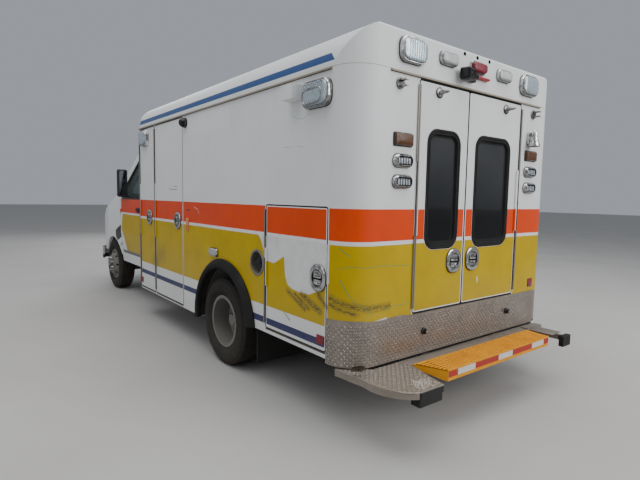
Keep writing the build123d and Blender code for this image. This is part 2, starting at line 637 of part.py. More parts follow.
def cab_front_view(inset):
    """Cab seen from the front: leaning glasshouse, rounded roof edges and a slight crown."""
    waist = cab_half - 20
    eaves = cab_half - 140
    edge = Polyline((-cab_hem, rocker_z), (cab_hem, rocker_z), (waist + 5, 900), (waist, cowl[1] - 15),
                    (eaves, header[1] - 65))
    edge += ThreePointArc((eaves, header[1] - 65), (eaves - 45, header[1] - 8), (eaves - 140, header[1] + 12))
    edge += ThreePointArc((eaves - 140, header[1] + 12), (0, cab_roof_z), (140 - eaves, header[1] + 12))
    edge += ThreePointArc((140 - eaves, header[1] + 12), (45 - eaves, header[1] - 8), (-eaves, header[1] - 65))
    edge += Polyline((-eaves, header[1] - 65), (-waist, cowl[1] - 15), (-waist - 5, 900), (-cab_hem, rocker_z))
    return offset(make_face(edge), -inset) if inset else make_face(edge)


def cab_form(inset):
    """Closed outer form of the cab, drawn in from its skin, open to the rear and below."""
    top = cab_roof_z + 30
    side = polygon([(cab_rear_x, rocker_z), (cab_rear_x, top), (header[0] - 40, top), header, cowl,
                    (nose_x - 180, 1185), (nose_x - 40, 1080), (nose_x, 960), (nose_x, rocker_z)])
    side = fillet(side.vertices().sort_by(Axis.X)[-4:-2], 60)
    plan = polygon([(cab_rear_x, -cab_half), (nose_x - 610, -cab_half), (nose_x - 45, 75 - cab_half),
                    (nose_x, -450), (nose_x, 450), (nose_x - 45, cab_half - 75), (nose_x - 610, cab_half),
                    (cab_rear_x, cab_half)])
    front = cab_front_view(inset)
    if inset:
        open_rear = (cab_rear_x - 10, cab_rear_x + inset + 1)
        open_hem = (rocker_z - 10, rocker_z + inset + 1)
        side = offset(side, -inset) + rect(open_rear, (rocker_z, top))
        side += rect((cab_rear_x - 10, nose_x - inset), open_hem)
        plan = offset(plan, -inset) + rect(open_rear, (inset - cab_half, cab_half - inset))
        front += rect((inset - cab_hem, cab_hem - inset), open_hem)
    form = along_y(side, everything) & along_z(plan, (rocker_z - 10, top + 10))
    return form & along_x(front, (cab_rear_x - 10, nose_x + 10))


cab_hem = cab_half - 60
skin = cab_form(0)
full_shell = skin - cab_form(cab_wall)
shell = full_shell & span((cab_rear_x, nose_x + 1), everything, (sill_z, cab_roof_z + 1))
pane = cab_form(14) - cab_form(20)

door_rear, door_front = cab_door_x
door_points = [(door_rear, 605), (door_front, 605), (door_front, 1500), (door_front - 495, 1925), (door_rear, 1940)]
door_view = fillet(polygon(door_points).vertices(), 30)
window_view = polygon([(door_rear + 60, 1392), (door_front - 75, 1392), (door_front - 75, 1490),
                       (door_front - 518, 1872), (door_rear + 60, 1880)])
window_view = fillet(window_view.vertices(), 30)
screen_half = (cab_half - 210, cab_half - 275)
screen_view = fillet(polygon([(-screen_half[0], cowl[1] + 50), (screen_half[0], cowl[1] + 50),
                              (screen_half[1], header[1] - 90), (-screen_half[1], header[1] - 90)]).vertices(), 50)
screen_x = (header[0] - 50, cowl[0] + 200)
screen_hole = along_x(screen_view, screen_x)
beside_cab = (cab_half - 320, cab_half + 180)
door_hole = along_y(offset(door_view, door_gap), beside_cab)
window_hole = along_y(window_view, beside_cab)

cab_pin = (door_front + 5, cab_half - 4)
cab_hinge_z = (700, 1150)
hood_pin = (hood_x[0] - 8, cowl[1] + 2)
hood_hinge_y = (-600, 560)


def hood_knuckle(y, leaf_to):
    """One knuckle of the hood's hinge, across the vehicle, with its leaf."""
    barrel = Pos(hood_pin[0], y[0], hood_pin[1]) * Rot(-90, 0, 0) * post(hinge_r, y[1] - y[0])
    return barrel + span(tuple(sorted((hood_pin[0], leaf_to[0]))), y, (leaf_to[1], hood_pin[1] + 2))


fender_x = door_front + 44
split_z = cowl[1] - 20
roof_z = header[1] - 55
cowl_x = hood_x[0] - 8
cowl_half = hood_half + 8 - skin_gap
cab_frame = full_shell & span((cab_rear_x, fender_x), everything, (rocker_z, split_z))
cab_frame += shell & span((cab_rear_x, cowl_x), everything, (split_z, roof_z))
cab_frame += shell & span((fender_x - 1, cowl_x), (-cowl_half, cowl_half), (1000, split_z + 1))
cab_frame -= door_hole + other_side(door_hole) + screen_hole
for z in cab_hinge_z:
    leaf = hinge_knuckle(cab_pin[0], cab_pin[1], (z, z + 40), (cab_pin[0] + 24, cab_pin[1] - 45))
    cab_frame += leaf + other_side(leaf)
for y in hood_hinge_y:
    cab_frame += hood_knuckle((y - 40, y - skin_gap), (cowl[0] - 10, cowl[1] - 20))
save("cab_frame", cab_frame)
cab_roof = shell & span((cab_rear_x, header[0] + 100), everything, (roof_z + skin_gap, cab_roof_z + 1))
cab_roof -= screen_hole
save("cab_roof", cab_roof)
save("windscreen", pane & along_x(offset(screen_view, -skin_gap), screen_x))

arch_hole = along_y(Pos(front_axle_x, axle_z) * Circle(cab_arch_r) + rect(
    grow((front_axle_x,) * 2, cab_arch_r), (0, axle_z)), everything)
front_x = hood_x[1] + 8
fenders = shell & span((fender_x + skin_gap, front_x - skin_gap), everything, (sill_z, split_z - skin_gap))
fenders -= arch_hole + span((fender_x - 100, nose_x), grow((-hood_half, hood_half), 8), (0, header[1]))
save("fenders", *fenders.solids())
hood = shell & span(hood_x, (-hood_half, hood_half), (1000, cowl[1] + 100))
for y in hood_hinge_y:
    hood += hood_knuckle((y, y + 40), (hood_x[0] + 20, cowl[1] - 22))
save("hood", hood)

nose_z = (600, 1300)
grille_view = rect((-440, 440), (700, 1010), 30)
headlamp_view = rect((520, 850), (790, 1010), 20)
nose_depth = (nose_x - 130, nose_x + 90)
nose = shell & span((front_x, nose_x + 1), everything, nose_z)
lamp_hole = along_x(headlamp_view, nose_depth)
nose -= along_x(grille_view, nose_depth) + lamp_hole + other_side(lamp_hole)
for z in range(728, 1000, 30):
    nose += span((nose_x - 42, nose_x - 20), (-445, 445), (z, z + 12))
for y in (-150, 150):
    nose += span((nose_x - 44, nose_x - 24), (y - 8, y + 8), (695, 1015))
save("grille", nose)
headlamp = skin & along_x(offset(headlamp_view, -skin_gap), (nose_x - 95, nose_x + 90))
save("exterior_lamps", *lamps, headlamp, other_side(headlamp))

bumper_half = cab_half - 10
outer_edge = [(bumper_x - 201, bumper_half), (bumper_x - 131, bumper_half - 10), (bumper_x - 41, bumper_half - 50),
              (bumper_x, 600)]
inner_edge = [(bumper_x - 41, 590), (bumper_x - 76, bumper_half - 80), (bumper_x - 141, bumper_half - 35),
              (bumper_x - 201, bumper_half - 25)]
bumper_plan = polygon([(x, -y) for x, y in outer_edge] + outer_edge[::-1]
                      + inner_edge[::-1] + [(x, -y) for x, y in inner_edge])
bumper = along_z(bumper_plan, (400, 590))
bumper = chamfer(bumper.faces().sort_by(Axis.Z)[-1].edges().filter_by(GeomType.LINE).sort_by(Axis.X)[-1], 12)
horn = span((rail_ahead_x + skin_gap, bumper_x - 36), rail_y, (420, 520))
save("front_bumper", bumper + horn + other_side(horn))

# Cab floor, engine cover and firewall
inside = cab_form(cab_wall + skin_gap)
floor_x = (cab_rear_x + skin_gap, firewall_x)
wall_x = (firewall_x, firewall_x + 30)
cab_floor = span(floor_x, everything, (cab_floor_z, cab_floor_z + 40))
cab_floor += span(wall_x, everything, (cab_floor_z, split_z - 60))
cab_floor &= inside
cover_x = (firewall_x - 432, wall_x[1])
cover_top = 1065
cab_floor -= span(cover_x, (-250, 250), (0, cover_top))
cab_floor += span(cover_x, (-250, 250), (cab_floor_z, cover_top)) - span(
    (cover_x[0] + 20, cover_x[1] + 1), (-230, 230), (0, cover_top - 20))
for x in (cab_rear_x + 99, cab_rear_x + 489, firewall_x - 82):
    for y in (rail_y, (-rail_y[1], -rail_y[0])):
        cab_floor += span(grow((x, x), 30), y, (sill_z, cab_floor_z + 5))
save("cab_floor", cab_floor)
bridge_x = (box_length + skin_gap, cab_rear_x - skin_gap)
bridge = along_x(cab_front_view(10) - cab_front_view(40), bridge_x)
bridge &= span((box_length, cab_rear_x), everything, (cab_floor_z, cab_roof_z))
bridge += span(bridge_x, everything, (cab_floor_z, cab_floor_z + 40)) & along_x(cab_front_view(20), bridge_x)
save("cab_bridge", bridge)

# Cab interior
driver_y = 420
dash_back = firewall_x - skin_gap
dash_view = polygon([(dash_back, 1310), (firewall_x - 142, 1330), (firewall_x - 262, 1290),
                     (firewall_x - 292, 1200), (firewall_x - 242, 1080), (dash_back, 1080)])
dash_half = cab_half - 160
column = ((firewall_x - 212, driver_y, 1110), (firewall_x - 402, driver_y, 1200))
save("dashboard", along_y(dash_view, (-dash_half, dash_half)) + rod(*column, 28))
column_dir = (Vector(*column[1]) - Vector(*column[0])).normalized()
wheel_base = Vector(*column[1]) + column_dir * skin_gap
wheel_plane = Plane(origin=wheel_base, z_dir=column_dir, x_dir=(0, 1, 0))
wheel = post(45, 40) + Pos(0, 0, 45) * Torus(190, 14)
for turn in (0, 120, 240):
    wheel += Rot(0, 0, turn - 90) * Pos(110, 0, 30) * Box(150, 34, 16)
save("steering_wheel", wheel_plane * wheel)

seat_y = driver_y + 20
seat_x = cab_rear_x + 64          # where the backrest meets the cab's rear
cushion_z = cab_floor_z + 380
seats = []
for y in (seat_y, -seat_y):
    base = span((seat_x + 175, seat_x + 485), grow((y, y), 190), (cab_floor_z + 40 + skin_gap, cushion_z - 150))
    cushion = span((seat_x + 125, seat_x + 575), grow((y, y), 245), (cushion_z - 160, cushion_z))
    back_view = polygon([(seat_x + 95, cushion_z - 50), (seat_x + 235, cushion_z - 50),
                         (seat_x + 115, cushion_z + 620), (seat_x, cushion_z + 620)])
    rest_view = polygon([(seat_x, cushion_z + 610), (seat_x + 95, cushion_z + 610),
                         (seat_x + 85, cushion_z + 800), (seat_x + 10, cushion_z + 800)])
    back = along_y(fillet(back_view.vertices(), 25), grow((y, y), 240))
    rest = along_y(fillet(rest_view.vertices(), 25), grow((y, y), 120))
    seats.append(base + fillet(cushion.edges(), 25) + back + rest)
save("seats", *seats)

# Cab doors with their glass and mirrors
cab_door = (shell & along_y(door_view, beside_cab)) - window_hole
cab_door += span((door_rear + 65, door_rear + 185), (cab_half - 40, cab_half), (1215, 1245))
for z in cab_hinge_z:
    cab_door += hinge_knuckle(cab_pin[0], cab_pin[1], (z + 40 + skin_gap, z + 80), (cab_pin[0] - 34, cab_pin[1] - 45))
cab_glass = pane & along_y(offset(window_view, -skin_gap), beside_cab)
head_x = (door_front - 390, door_front - 300)
head = fillet(span(head_x, (cab_half - 10, cab_half + 115), (cowl[1], cowl[1] + 375)).edges(), 22)
elbow = (door_front - 50, cab_half + 35)
arms = []
for z in (cowl[1] + 25, cowl[1] + 78):
    bend = (*elbow, z + 8)
    arms.append(rod((door_front - 38, cab_half - 70, z), bend, 12)
                + rod(bend, (head_x[0] + 75, cab_half + 52, z + 30), 12) + Pos(*bend) * Sphere(12))
mirror_piece = (head + arms[0] + arms[1]) - skin
for side, turn in (("left", lambda shape: shape), ("right", other_side)):
    save(f"cab_door_{side}", turn(cab_door))
    save(f"cab_door_glass_{side}", turn(cab_glass))
    save(f"mirror_{side}", turn(mirror_piece))
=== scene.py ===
"""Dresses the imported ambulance: paint and stripes, tread plate, lamps, latches, glass and rubber.

Everything is in metres in the shared frame. Places along the vehicle are given as stations,
measured forwards from the rear face of the box body, and `at` moves them into the frame.
"""
import json
import math
import random

import bmesh
import bpy
from mathutils import Matrix, Vector

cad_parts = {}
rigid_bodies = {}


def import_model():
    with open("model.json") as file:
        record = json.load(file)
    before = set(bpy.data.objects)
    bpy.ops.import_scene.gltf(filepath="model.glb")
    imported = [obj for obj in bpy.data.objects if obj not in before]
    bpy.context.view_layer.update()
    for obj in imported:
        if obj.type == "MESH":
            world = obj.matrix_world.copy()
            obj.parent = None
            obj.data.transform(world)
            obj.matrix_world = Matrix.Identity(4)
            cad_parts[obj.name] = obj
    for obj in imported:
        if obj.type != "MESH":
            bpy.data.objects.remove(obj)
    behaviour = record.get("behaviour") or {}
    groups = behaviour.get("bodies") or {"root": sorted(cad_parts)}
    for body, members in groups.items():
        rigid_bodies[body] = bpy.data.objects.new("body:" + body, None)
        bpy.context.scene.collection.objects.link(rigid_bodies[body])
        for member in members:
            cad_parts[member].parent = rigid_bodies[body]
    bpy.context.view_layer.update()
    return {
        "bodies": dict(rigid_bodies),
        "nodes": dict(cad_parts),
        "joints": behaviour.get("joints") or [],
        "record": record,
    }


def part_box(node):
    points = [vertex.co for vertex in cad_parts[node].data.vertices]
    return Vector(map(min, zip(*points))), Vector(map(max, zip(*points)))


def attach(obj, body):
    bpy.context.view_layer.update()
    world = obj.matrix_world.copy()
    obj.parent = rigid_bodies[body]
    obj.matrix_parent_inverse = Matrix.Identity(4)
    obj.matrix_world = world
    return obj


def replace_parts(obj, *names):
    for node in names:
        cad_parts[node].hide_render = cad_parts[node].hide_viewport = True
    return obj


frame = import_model()
nodes = frame["nodes"]

# Driving places, as stations
drip_rail_out = 0.014
rear_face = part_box("module_roof")[0].x + drip_rail_out
box_half = 1.143
box_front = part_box("module_roof")[1].x - rear_face
rear_axle = (1.611, 0.372)
front_axle = (5.624, 0.372)
rail_top = 2.218
corner_r = 0.200

# Livery bands, lowest and highest value of z
orange_band = (1.182, 1.378)
yellow_band = (0.640, 1.157)
blue_band = (0.503, 0.552)
roof_stripe = (2.252, 2.302)
roof_stripe_x = (0.185, 3.79)
cab_yellow_low = 0.606
cab_stripe_end = 5.135


def at(x, y, z):
    """A point given by its station, moved into the shared frame."""
    return Vector((x + rear_face, y, z))


# Shader arithmetic

class Value:
    """A number that varies over a surface, written as plain arithmetic."""

    def __init__(self, finish, socket):
        self.finish = finish
        self.socket = socket

    def maths(self, operation, *others):
        return self.finish.node("ShaderNodeMath", {"operation": operation}, [self, *others])

    def __add__(self, other):
        return self.maths("ADD", other)

    def __sub__(self, other):
        return self.maths("SUBTRACT", other)

    def __rsub__(self, other):
        return self.maths("MULTIPLY_ADD", -1.0, other)

    def __mul__(self, other):
        return self.maths("MULTIPLY", other)

    def __truediv__(self, other):
        return self.maths("DIVIDE", other)

    __radd__ = __add__
    __rmul__ = __mul__

    def __or__(self, other):
        return self.maths("MAXIMUM", other)

    def __and__(self, other):
        return self.maths("MINIMUM", other)

    def __abs__(self):
        return self.maths("ABSOLUTE")

    def above(self, edge, soft=0.0015):
        """0 below the edge and 1 above it, with a soft step between."""
        return self.finish.node("ShaderNodeMapRange", {"interpolation_type": "SMOOTHSTEP"},
                                [self, edge - soft, edge + soft, 0.0, 1.0])

    def below(self, edge, soft=0.0015):
        return 1.0 - self.above(edge, soft)

    def within(self, limits, soft=0.0015):
        return self.above(limits[0], soft) * self.below(limits[1], soft)

    def spread(self, low, high, to_low=0.0, to_high=1.0):
        """Map a range of values evenly on to another, and hold its ends."""
        return self.finish.node("ShaderNodeMapRange", {"clamp": True}, [self, low, high, to_low, to_high])


class Finish:
    """One material in the making: its nodes and the surface shader that they feed."""

    def __init__(self, name, **settings):
        self.material = bpy.data.materials.new(name)
        self.material.use_nodes = True
        self.tree = self.material.node_tree
        self.surface = self.tree.nodes["Principled BSDF"]
        for socket, value in settings.items():
            self.surface.inputs[socket.replace("_", " ")].default_value = value
        place = self.tree.nodes.new("ShaderNodeTexCoord")
        self.place = place.outputs["Object"]
        split = self.tree.nodes.new("ShaderNodeSeparateXYZ")
        self.tree.links.new(self.place, split.inputs[0])
        self.x, self.y, self.z = (Value(self, out) for out in split.outputs)
        self.station = self.x - rear_face
        self.side = abs(self.y)

    def feed(self, socket, item):
        if isinstance(item, Value):
            item = item.socket
        if isinstance(item, bpy.types.NodeSocket):
            self.tree.links.new(item, socket)
        else:
            socket.default_value = item

    def node(self, kind, settings, inputs, output=0):
        """Any other node: its settings first, then its sockets by order or by name."""
        node = self.tree.nodes.new(kind)
        for name, value in settings.items():
            setattr(node, name, value)
        named = inputs.items() if isinstance(inputs, dict) else enumerate(inputs)
        for key, item in named:
            self.feed(node.inputs[key], item)
        return Value(self, node.outputs[output])

    def stretched(self, sx, sy, sz, turn=(0.0, 0.0, 0.0)):
        """The surface point, scaled along each axis after a turn."""
        return self.node("ShaderNodeMapping", {},
                         {"Vector": self.place, "Rotation": turn, "Scale": (sx, sy, sz)})

    def noise(self, scale, detail=3.0, place=None, rough=0.55):
        return self.node("ShaderNodeTexNoise", {}, {
            "Vector": place or self.place, "Scale": scale, "Detail": detail, "Roughness": rough})

    def mix(self, share, first, second):
        node = self.tree.nodes.new("ShaderNodeMix")
        node.data_type = "RGBA"
        self.feed(node.inputs[0], share)
        self.feed(node.inputs[6], first if isinstance(first, Value) else (*first, 1.0))
        self.feed(node.inputs[7], second if isinstance(second, Value) else (*second, 1.0))
        return Value(self, node.outputs[2])

    def colour(self, value):
        self.feed(self.surface.inputs["Base Color"], value if isinstance(value, Value) else (*value, 1.0))
        return self

    def roughness(self, value):
        self.feed(self.surface.inputs["Roughness"], value)
        return self

    def metallic(self, value):
        self.feed(self.surface.inputs["Metallic"], value)
        return self

    def bump(self, height, depth, strength=1.0):
        bump = self.tree.nodes.new("ShaderNodeBump")
        bump.inputs["Distance"].default_value = depth
        bump.inputs["Strength"].default_value = strength
        self.feed(bump.inputs["Height"], height)
        self.tree.links.new(bump.outputs[0], self.surface.inputs["Normal"])
        return self

    def hollow(self, across, up, centre, half, corner):
        """Distance outside a rounded rectangle, negative within it."""
        past_x = abs(across - centre[0]) - (half[0] - corner)
        past_z = abs(up - centre[1]) - (half[1] - corner)
        out_x, out_z = past_x | 0.0, past_z | 0.0
        corner_way = self.node("ShaderNodeMath", {"operation": "SQRT"}, [out_x * out_x + out_z * out_z])
        return corner_way + ((past_x | past_z) & 0.0) - corner

    def from_line(self, across, up, start, end):
        """Distance from a straight stroke."""
        run, rise = end[0] - start[0], end[1] - start[1]
        dx, dz = across - start[0], up - start[1]
        share = ((dx * run + dz * rise) / (run * run + rise * rise)).spread(0.0, 1.0)
        gap_x, gap_z = dx - share * run, dz - share * rise
        return self.node("ShaderNodeMath", {"operation": "SQRT"}, [gap_x * gap_x + gap_z * gap_z])

    def curve(self, value, points, floor, reach):
        """A height read from straight runs between points, where floor and reach span its range."""
        low, high = points[0][0], points[-1][0]
        ramp = self.tree.nodes.new("ShaderNodeValToRGB")
        stops = ramp.color_ramp.elements
        while len(stops) < len(points):
            stops.new(0.5)
        for stop, (along, height) in zip(stops, points):
            share = (height - floor) / reach
            stop.position = (along - low) / (high - low)
            stop.color = (share, share, share, 1.0)
        self.feed(ramp.inputs[0], value.spread(low, high))
        return Value(self, ramp.outputs[0]) * reach + floor

    def shade_facing_down(self):
        """1 on faces that look at the ground, 0 on upright ones and those that look up: where the finishes
        paint shade on undersides.
        """
        shape = self.tree.nodes.new("ShaderNodeNewGeometry")
        split = self.tree.nodes.new("ShaderNodeSeparateXYZ")
        self.tree.links.new(shape.outputs["Normal"], split.inputs[0])
        return Value(self, split.outputs[2]).spread(0.15, -0.7)

    def dusted(self, base, share):
        return self.mix(share, base, road_dust)


# Colours, as linear light
white = (0.74, 0.75, 0.755)
orange = (0.72, 0.060, 0.006)
yellow = (0.52, 0.36, 0.0)
blue = (0.002, 0.014, 0.105)
road_dust = (0.30, 0.26, 0.21)


def dirt_on_paint(paint, colour):
    """Road dust low down, rain streaks under the drip rail, faint blotches and a patch of soot."""
    blotch = paint.noise(1.7, 5.0)
    streaks = paint.noise(1.0, 4.0, paint.stretched(38.0, 38.0, 1.1))
    fine = paint.noise(24.0, 6.0)
    low = paint.z.spread(0.95, 0.30) * blotch.spread(0.30, 0.70, 0.35, 1.0)
    streak = streaks.spread(0.50, 0.78) * paint.z.spread(1.2, 2.4, 0.15, 0.5)
    share = low * 0.34 + streak * 0.22 + blotch.spread(0.45, 0.8) * 0.05
    share = share * fine.spread(0.25, 0.8, 0.6, 1.0)
    soot = paint.from_line(paint.station, paint.z, (3.08, 0.80), (3.30, 0.69)).spread(0.16, 0.02)
    soot = soot * blotch.spread(0.35, 0.6) * paint.y.above(0.5) * 0.45
    colour = paint.mix(soot, colour, (0.06, 0.055, 0.045))
    return paint.dusted(colour, share), share


def paint_bands(paint, yellow_low=yellow_band[0]):
    """White enamel with the orange, yellow and blue bands that run round the body."""
    wobble = (paint.noise(3.0, 2.0) - 0.5) * 0.004
    height = paint.z + wobble
    hue = paint.noise(2.2, 4.0)
    warm = paint.mix(hue.spread(0.3, 0.75), white, (0.70, 0.705, 0.70))
    lemon = paint.mix(paint.noise(5.0, 4.0).spread(0.3, 0.8), yellow, (0.44, 0.295, 0.001))
    ember = paint.mix(paint.noise(4.0, 3.0).spread(0.35, 0.8), orange, (0.62, 0.052, 0.008))
    layer = paint.mix(height.within(blue_band), warm, blue)
    layer = paint.mix(height.within((yellow_low, yellow_band[1])), layer, lemon)
    return paint.mix(height.within(orange_band), layer, ember)


def enamel(name):
    return Finish(name, Coat_Weight=0.04, Coat_Roughness=0.12, Specular_IOR_Level=0.16)


# Colours of the lining inside, of black trim and seals, also laid as painted shade in gaps and under edges,
# and of the bare hinges
lining = (0.56, 0.56, 0.54)
black_trim_and_shade = (0.018, 0.017, 0.016)
bare_hinge = (0.270, 0.250, 0.225)
# The white edge left round each door, the gap about a door, and how round its corners are
edge_white = 0.009
door_gap = 0.006
door_corner_r = 0.014
# Depth at which the lining begins, and the side beyond which a mark lies on the outside of a wall
skin_thick = 0.015
outer_skin = box_half - 0.012


def box_paint(name, doors=(), openings=(), windows=(), lined=True):
    """Paint of the box: the bands, a bare white edge round doors and openings, and black painted shade in and
    under the gaps.
    """
    paint = enamel(name)
    bands = paint_bands(paint)
    if lined:
        skin_gap = paint.hollow(paint.station, paint.y, (3.0, 0.0), (3.0, box_half), corner_r)
        bands = paint.mix(skin_gap.below(-skin_thick, 0.002), bands, lining)
    margin, gap_shade = None, None
    for across, low, high in doors:
        edge = rim_distance(paint, across, low, high, door_corner_r)
        margin = joined(margin, edge.above(-edge_white, 0.0006))
        # Painted shade, black, on the door's outer edge at the gap
        gap_shade = joined(gap_shade, edge.above(-0.0018, 0.0004))
    for across, low, high in openings:
        edge = rim_distance(paint, across, low, high, door_corner_r)
        margin = joined(margin, edge.below(door_gap + edge_white, 0.0006))
        # Painted shade, black, on the wall's edge at the gap, and a painted shadow just under the opening
        gap_shade = joined(gap_shade, edge.below(door_gap + 0.0022, 0.0004))
        foot = paint.z.within((low[1] - door_gap - 0.012, low[1])) * across(paint).within((low[0], high[0]))
        gap_shade = joined(gap_shade, foot)
    for across, low, high, corner in windows:
        edge = rim_distance(paint, across, low, high, corner)
        margin = joined(margin, edge.below(edge_white, 0.0006))
    if margin is not None:
        bands = paint.mix(margin, bands, white)
    if gap_shade is not None:
        bands = paint.mix(gap_shade, bands, black_trim_and_shade)
    return paint, bands


def rim_distance(paint, across, low, high, corner):
    """Distance outside a door's outline, from its lowest and highest corner."""
    centre = ((low[0] + high[0]) / 2, (low[1] + high[1]) / 2)
    half = ((high[0] - low[0]) / 2, (high[1] - low[1]) / 2)
    return paint.hollow(across(paint), paint.z, centre, half, corner)


def joined(first, second):
    return second if first is None else first | second


def finish_paint(paint, colour, metal=None):
    """Dirt over the paint, then its gloss; metal marks bare fittings that share the panel."""
    dirty, share = dirt_on_paint(paint, colour)
    gloss = share.spread(0.0, 0.5, 0.34, 0.66)
    if metal is not None:
        dirty = paint.mix(metal, dirty, bare_hinge)
        paint.metallic(metal * 0.6)
    paint.colour(dirty)
    paint.roughness(gloss)
    ripple = paint.noise(2.6, 2.0) + paint.noise(9.0, 2.0) * 0.2
    paint.bump(ripple, 0.0035, 0.5)
    return paint.material


def use(node_names, material):
    for name in node_names:
        node = nodes[name]
        if node.material_slots:
            for slot in node.material_slots:
                slot.material = material
        else:
            node.data.materials.append(material)


# Camera and stage

# The photograph's camera, as fitted: lens in pixels, place, and turns in radians
photo_focal_px = 473.26
photo_width_px = 640
camera_station = (-2.0224, 2.9627, 1.4443)
camera_yaw = 0.66574
camera_pitch = -0.09007
camera_roll = 0.01811


def place_camera():
    camera = bpy.data.objects.new("camera", bpy.data.cameras.new("camera"))
    bpy.context.scene.collection.objects.link(camera)
    camera.data.sensor_width = 36.0
    camera.data.lens = photo_focal_px / photo_width_px * camera.data.sensor_width
    ahead = Vector((math.cos(camera_yaw) * math.cos(camera_pitch),
                    -math.sin(camera_yaw) * math.cos(camera_pitch), math.sin(camera_pitch)))
    right = ahead.cross(Vector((0, 0, 1))).normalized()
    up = right.cross(ahead)
    turned_right = math.cos(camera_roll) * right + math.sin(camera_roll) * up
    turned_up = math.cos(camera_roll) * up - math.sin(camera_roll) * right
    pose = Matrix((turned_right, turned_up, -ahead)).transposed().to_4x4()
    pose.translation = at(*camera_station)
    camera.matrix_world = pose
    camera.data.clip_end = 200
    bpy.context.scene.camera = camera


def soft_box(name, place, aim, size, power):
    lamp = bpy.data.lights.new(name, "AREA")
    lamp.shape = "RECTANGLE"
    lamp.size, lamp.size_y = size
    lamp.energy = power
    light = bpy.data.objects.new(name, lamp)
    bpy.context.scene.collection.objects.link(light)
    light.location = place
    light.rotation_euler = (Vector(aim) - Vector(place)).to_track_quat("-Z", "Y").to_euler()


def light_stage():
    floor_mesh = bpy.data.meshes.new("floor")
    reach = 60.0
    floor_mesh.from_pydata([(-reach, -reach, 0), (reach, -reach, 0), (reach, reach, 0), (-reach, reach, 0)],
                           [], [(0, 1, 2, 3)])
    floor = bpy.data.objects.new("floor", floor_mesh)
    bpy.context.scene.collection.objects.link(floor)
    pale = Finish("pale_floor", Roughness=0.9)
    pale.colour(pale.mix(pale.noise(0.8, 3.0).spread(0.3, 0.7), (0.40, 0.39, 0.375), (0.44, 0.43, 0.415)))
    floor.data.materials.append(pale.material)
    world = bpy.data.worlds.new("studio")
    world.use_nodes = True
    sky = world.node_tree.nodes["Background"]
    sky.inputs["Color"].default_value = (0.62, 0.66, 0.72, 1.0)
    sky.inputs["Strength"].default_value = 0.55
    bpy.context.scene.world = world
    soft_box("overhead", (-2.0, 1.0, 9.0), (0, 0, 1), (12.0, 9.0), 900)
    soft_box("behind", (-10.0, -3.0, 5.0), (-2.5, 0, 1.2), (7.0, 5.0), 520)
    soft_box("left", (-2.0, 10.0, 4.5), (0, 0, 1.0), (9.0, 5.0), 105)
    soft_box("front", (10.0, -4.0, 5.0), (3.0, 0, 1.0), (7.0, 5.0), 300)


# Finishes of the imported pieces

def plain_finish(name, colour, rough, metal=0.0, grain=0.0, grain_scale=60.0, dust=0.0):
    """A single material with a little colour drift, grain and dust."""
    finish = Finish(name, Metallic=metal, Specular_IOR_Level=0.3)
    drift = finish.noise(6.0, 4.0)
    darker = tuple(c * 0.78 for c in colour)
    shade = finish.mix(drift.spread(0.3, 0.75), colour, darker)
    settle = finish.z.spread(1.0, 0.1) * drift.spread(0.3, 0.7, 0.4, 1.0) * dust
    finish.colour(finish.dusted(shade, settle))
    finish.roughness(drift.spread(0.25, 0.8, rough * 0.8, min(1.0, rough * 1.25)))
    if grain:
        finish.bump(finish.noise(grain_scale, 5.0), grain)
    return finish.material


finishes = {
    "frame_paint": plain_finish("chassis_black", (0.03, 0.03, 0.03), 0.6, grain=0.002, dust=0.75),
    "engine_metal": plain_finish("engine_casting", (0.13, 0.13, 0.13), 0.6, 0.4, grain=0.003, dust=0.4),
    "plain_metal": plain_finish("mill_sheet", (0.5, 0.5, 0.49), 0.42, 0.9, grain=0.0006, dust=0.3),
    "black_rubber": plain_finish("black_rubber", (0.008, 0.008, 0.0085), 0.72, grain=0.0008,
                                 grain_scale=220, dust=0.07),
    "tyre_rubber": plain_finish("tyre_rubber", (0.009, 0.0088, 0.0085), 0.88, grain=0.001, grain_scale=160,
                                dust=0.16),
    "wheel_paint": plain_finish("wheel_enamel", (0.185, 0.180, 0.168), 0.6, 0.2, grain=0.0008,
                                grain_scale=140, dust=0.35),
    "black_plastic": plain_finish("black_moulding", (0.02, 0.02, 0.021), 0.5, grain=0.0006,
                                  grain_scale=300, dust=0.2),
    "cab_trim": plain_finish("grey_trim", (0.16, 0.16, 0.165), 0.6, grain=0.0006, grain_scale=300),
    "seat_fabric": plain_finish("seat_cloth", (0.10, 0.10, 0.11), 0.85, grain=0.001, grain_scale=400),
    "floor_finish": plain_finish("floor_sheet", (0.24, 0.25, 0.26), 0.5, grain=0.0006, grain_scale=200),
    "tread_plate": plain_finish("tread_plate", (0.5, 0.48, 0.45), 0.42, 0.85, grain=0.001),
    "lamp_glass": plain_finish("clear_lens", (0.7, 0.72, 0.74), 0.15, 0.2),
}

# Tinted glass, lighter towards its top as a painted reflection of the sky
dark_glass = Finish("dark_glass", Roughness=0.05, Metallic=0.0, Specular_IOR_Level=0.35)
painted_sky_sheen = dark_glass.z.spread(1.30, 1.95) * dark_glass.noise(2.2, 2.0).spread(0.30, 0.70, 0.5, 1.0)
dark_glass.colour(dark_glass.mix(painted_sky_sheen, (0.008, 0.009, 0.010), (0.052, 0.054, 0.057)))
finishes["dark_glass"] = dark_glass.material
cab_glass = Finish("cab_glass", Roughness=0.04, Transmission_Weight=0.9, IOR=1.05)
cab_glass.colour((0.35, 0.42, 0.42))
finishes["cab_glass"] = cab_glass.material


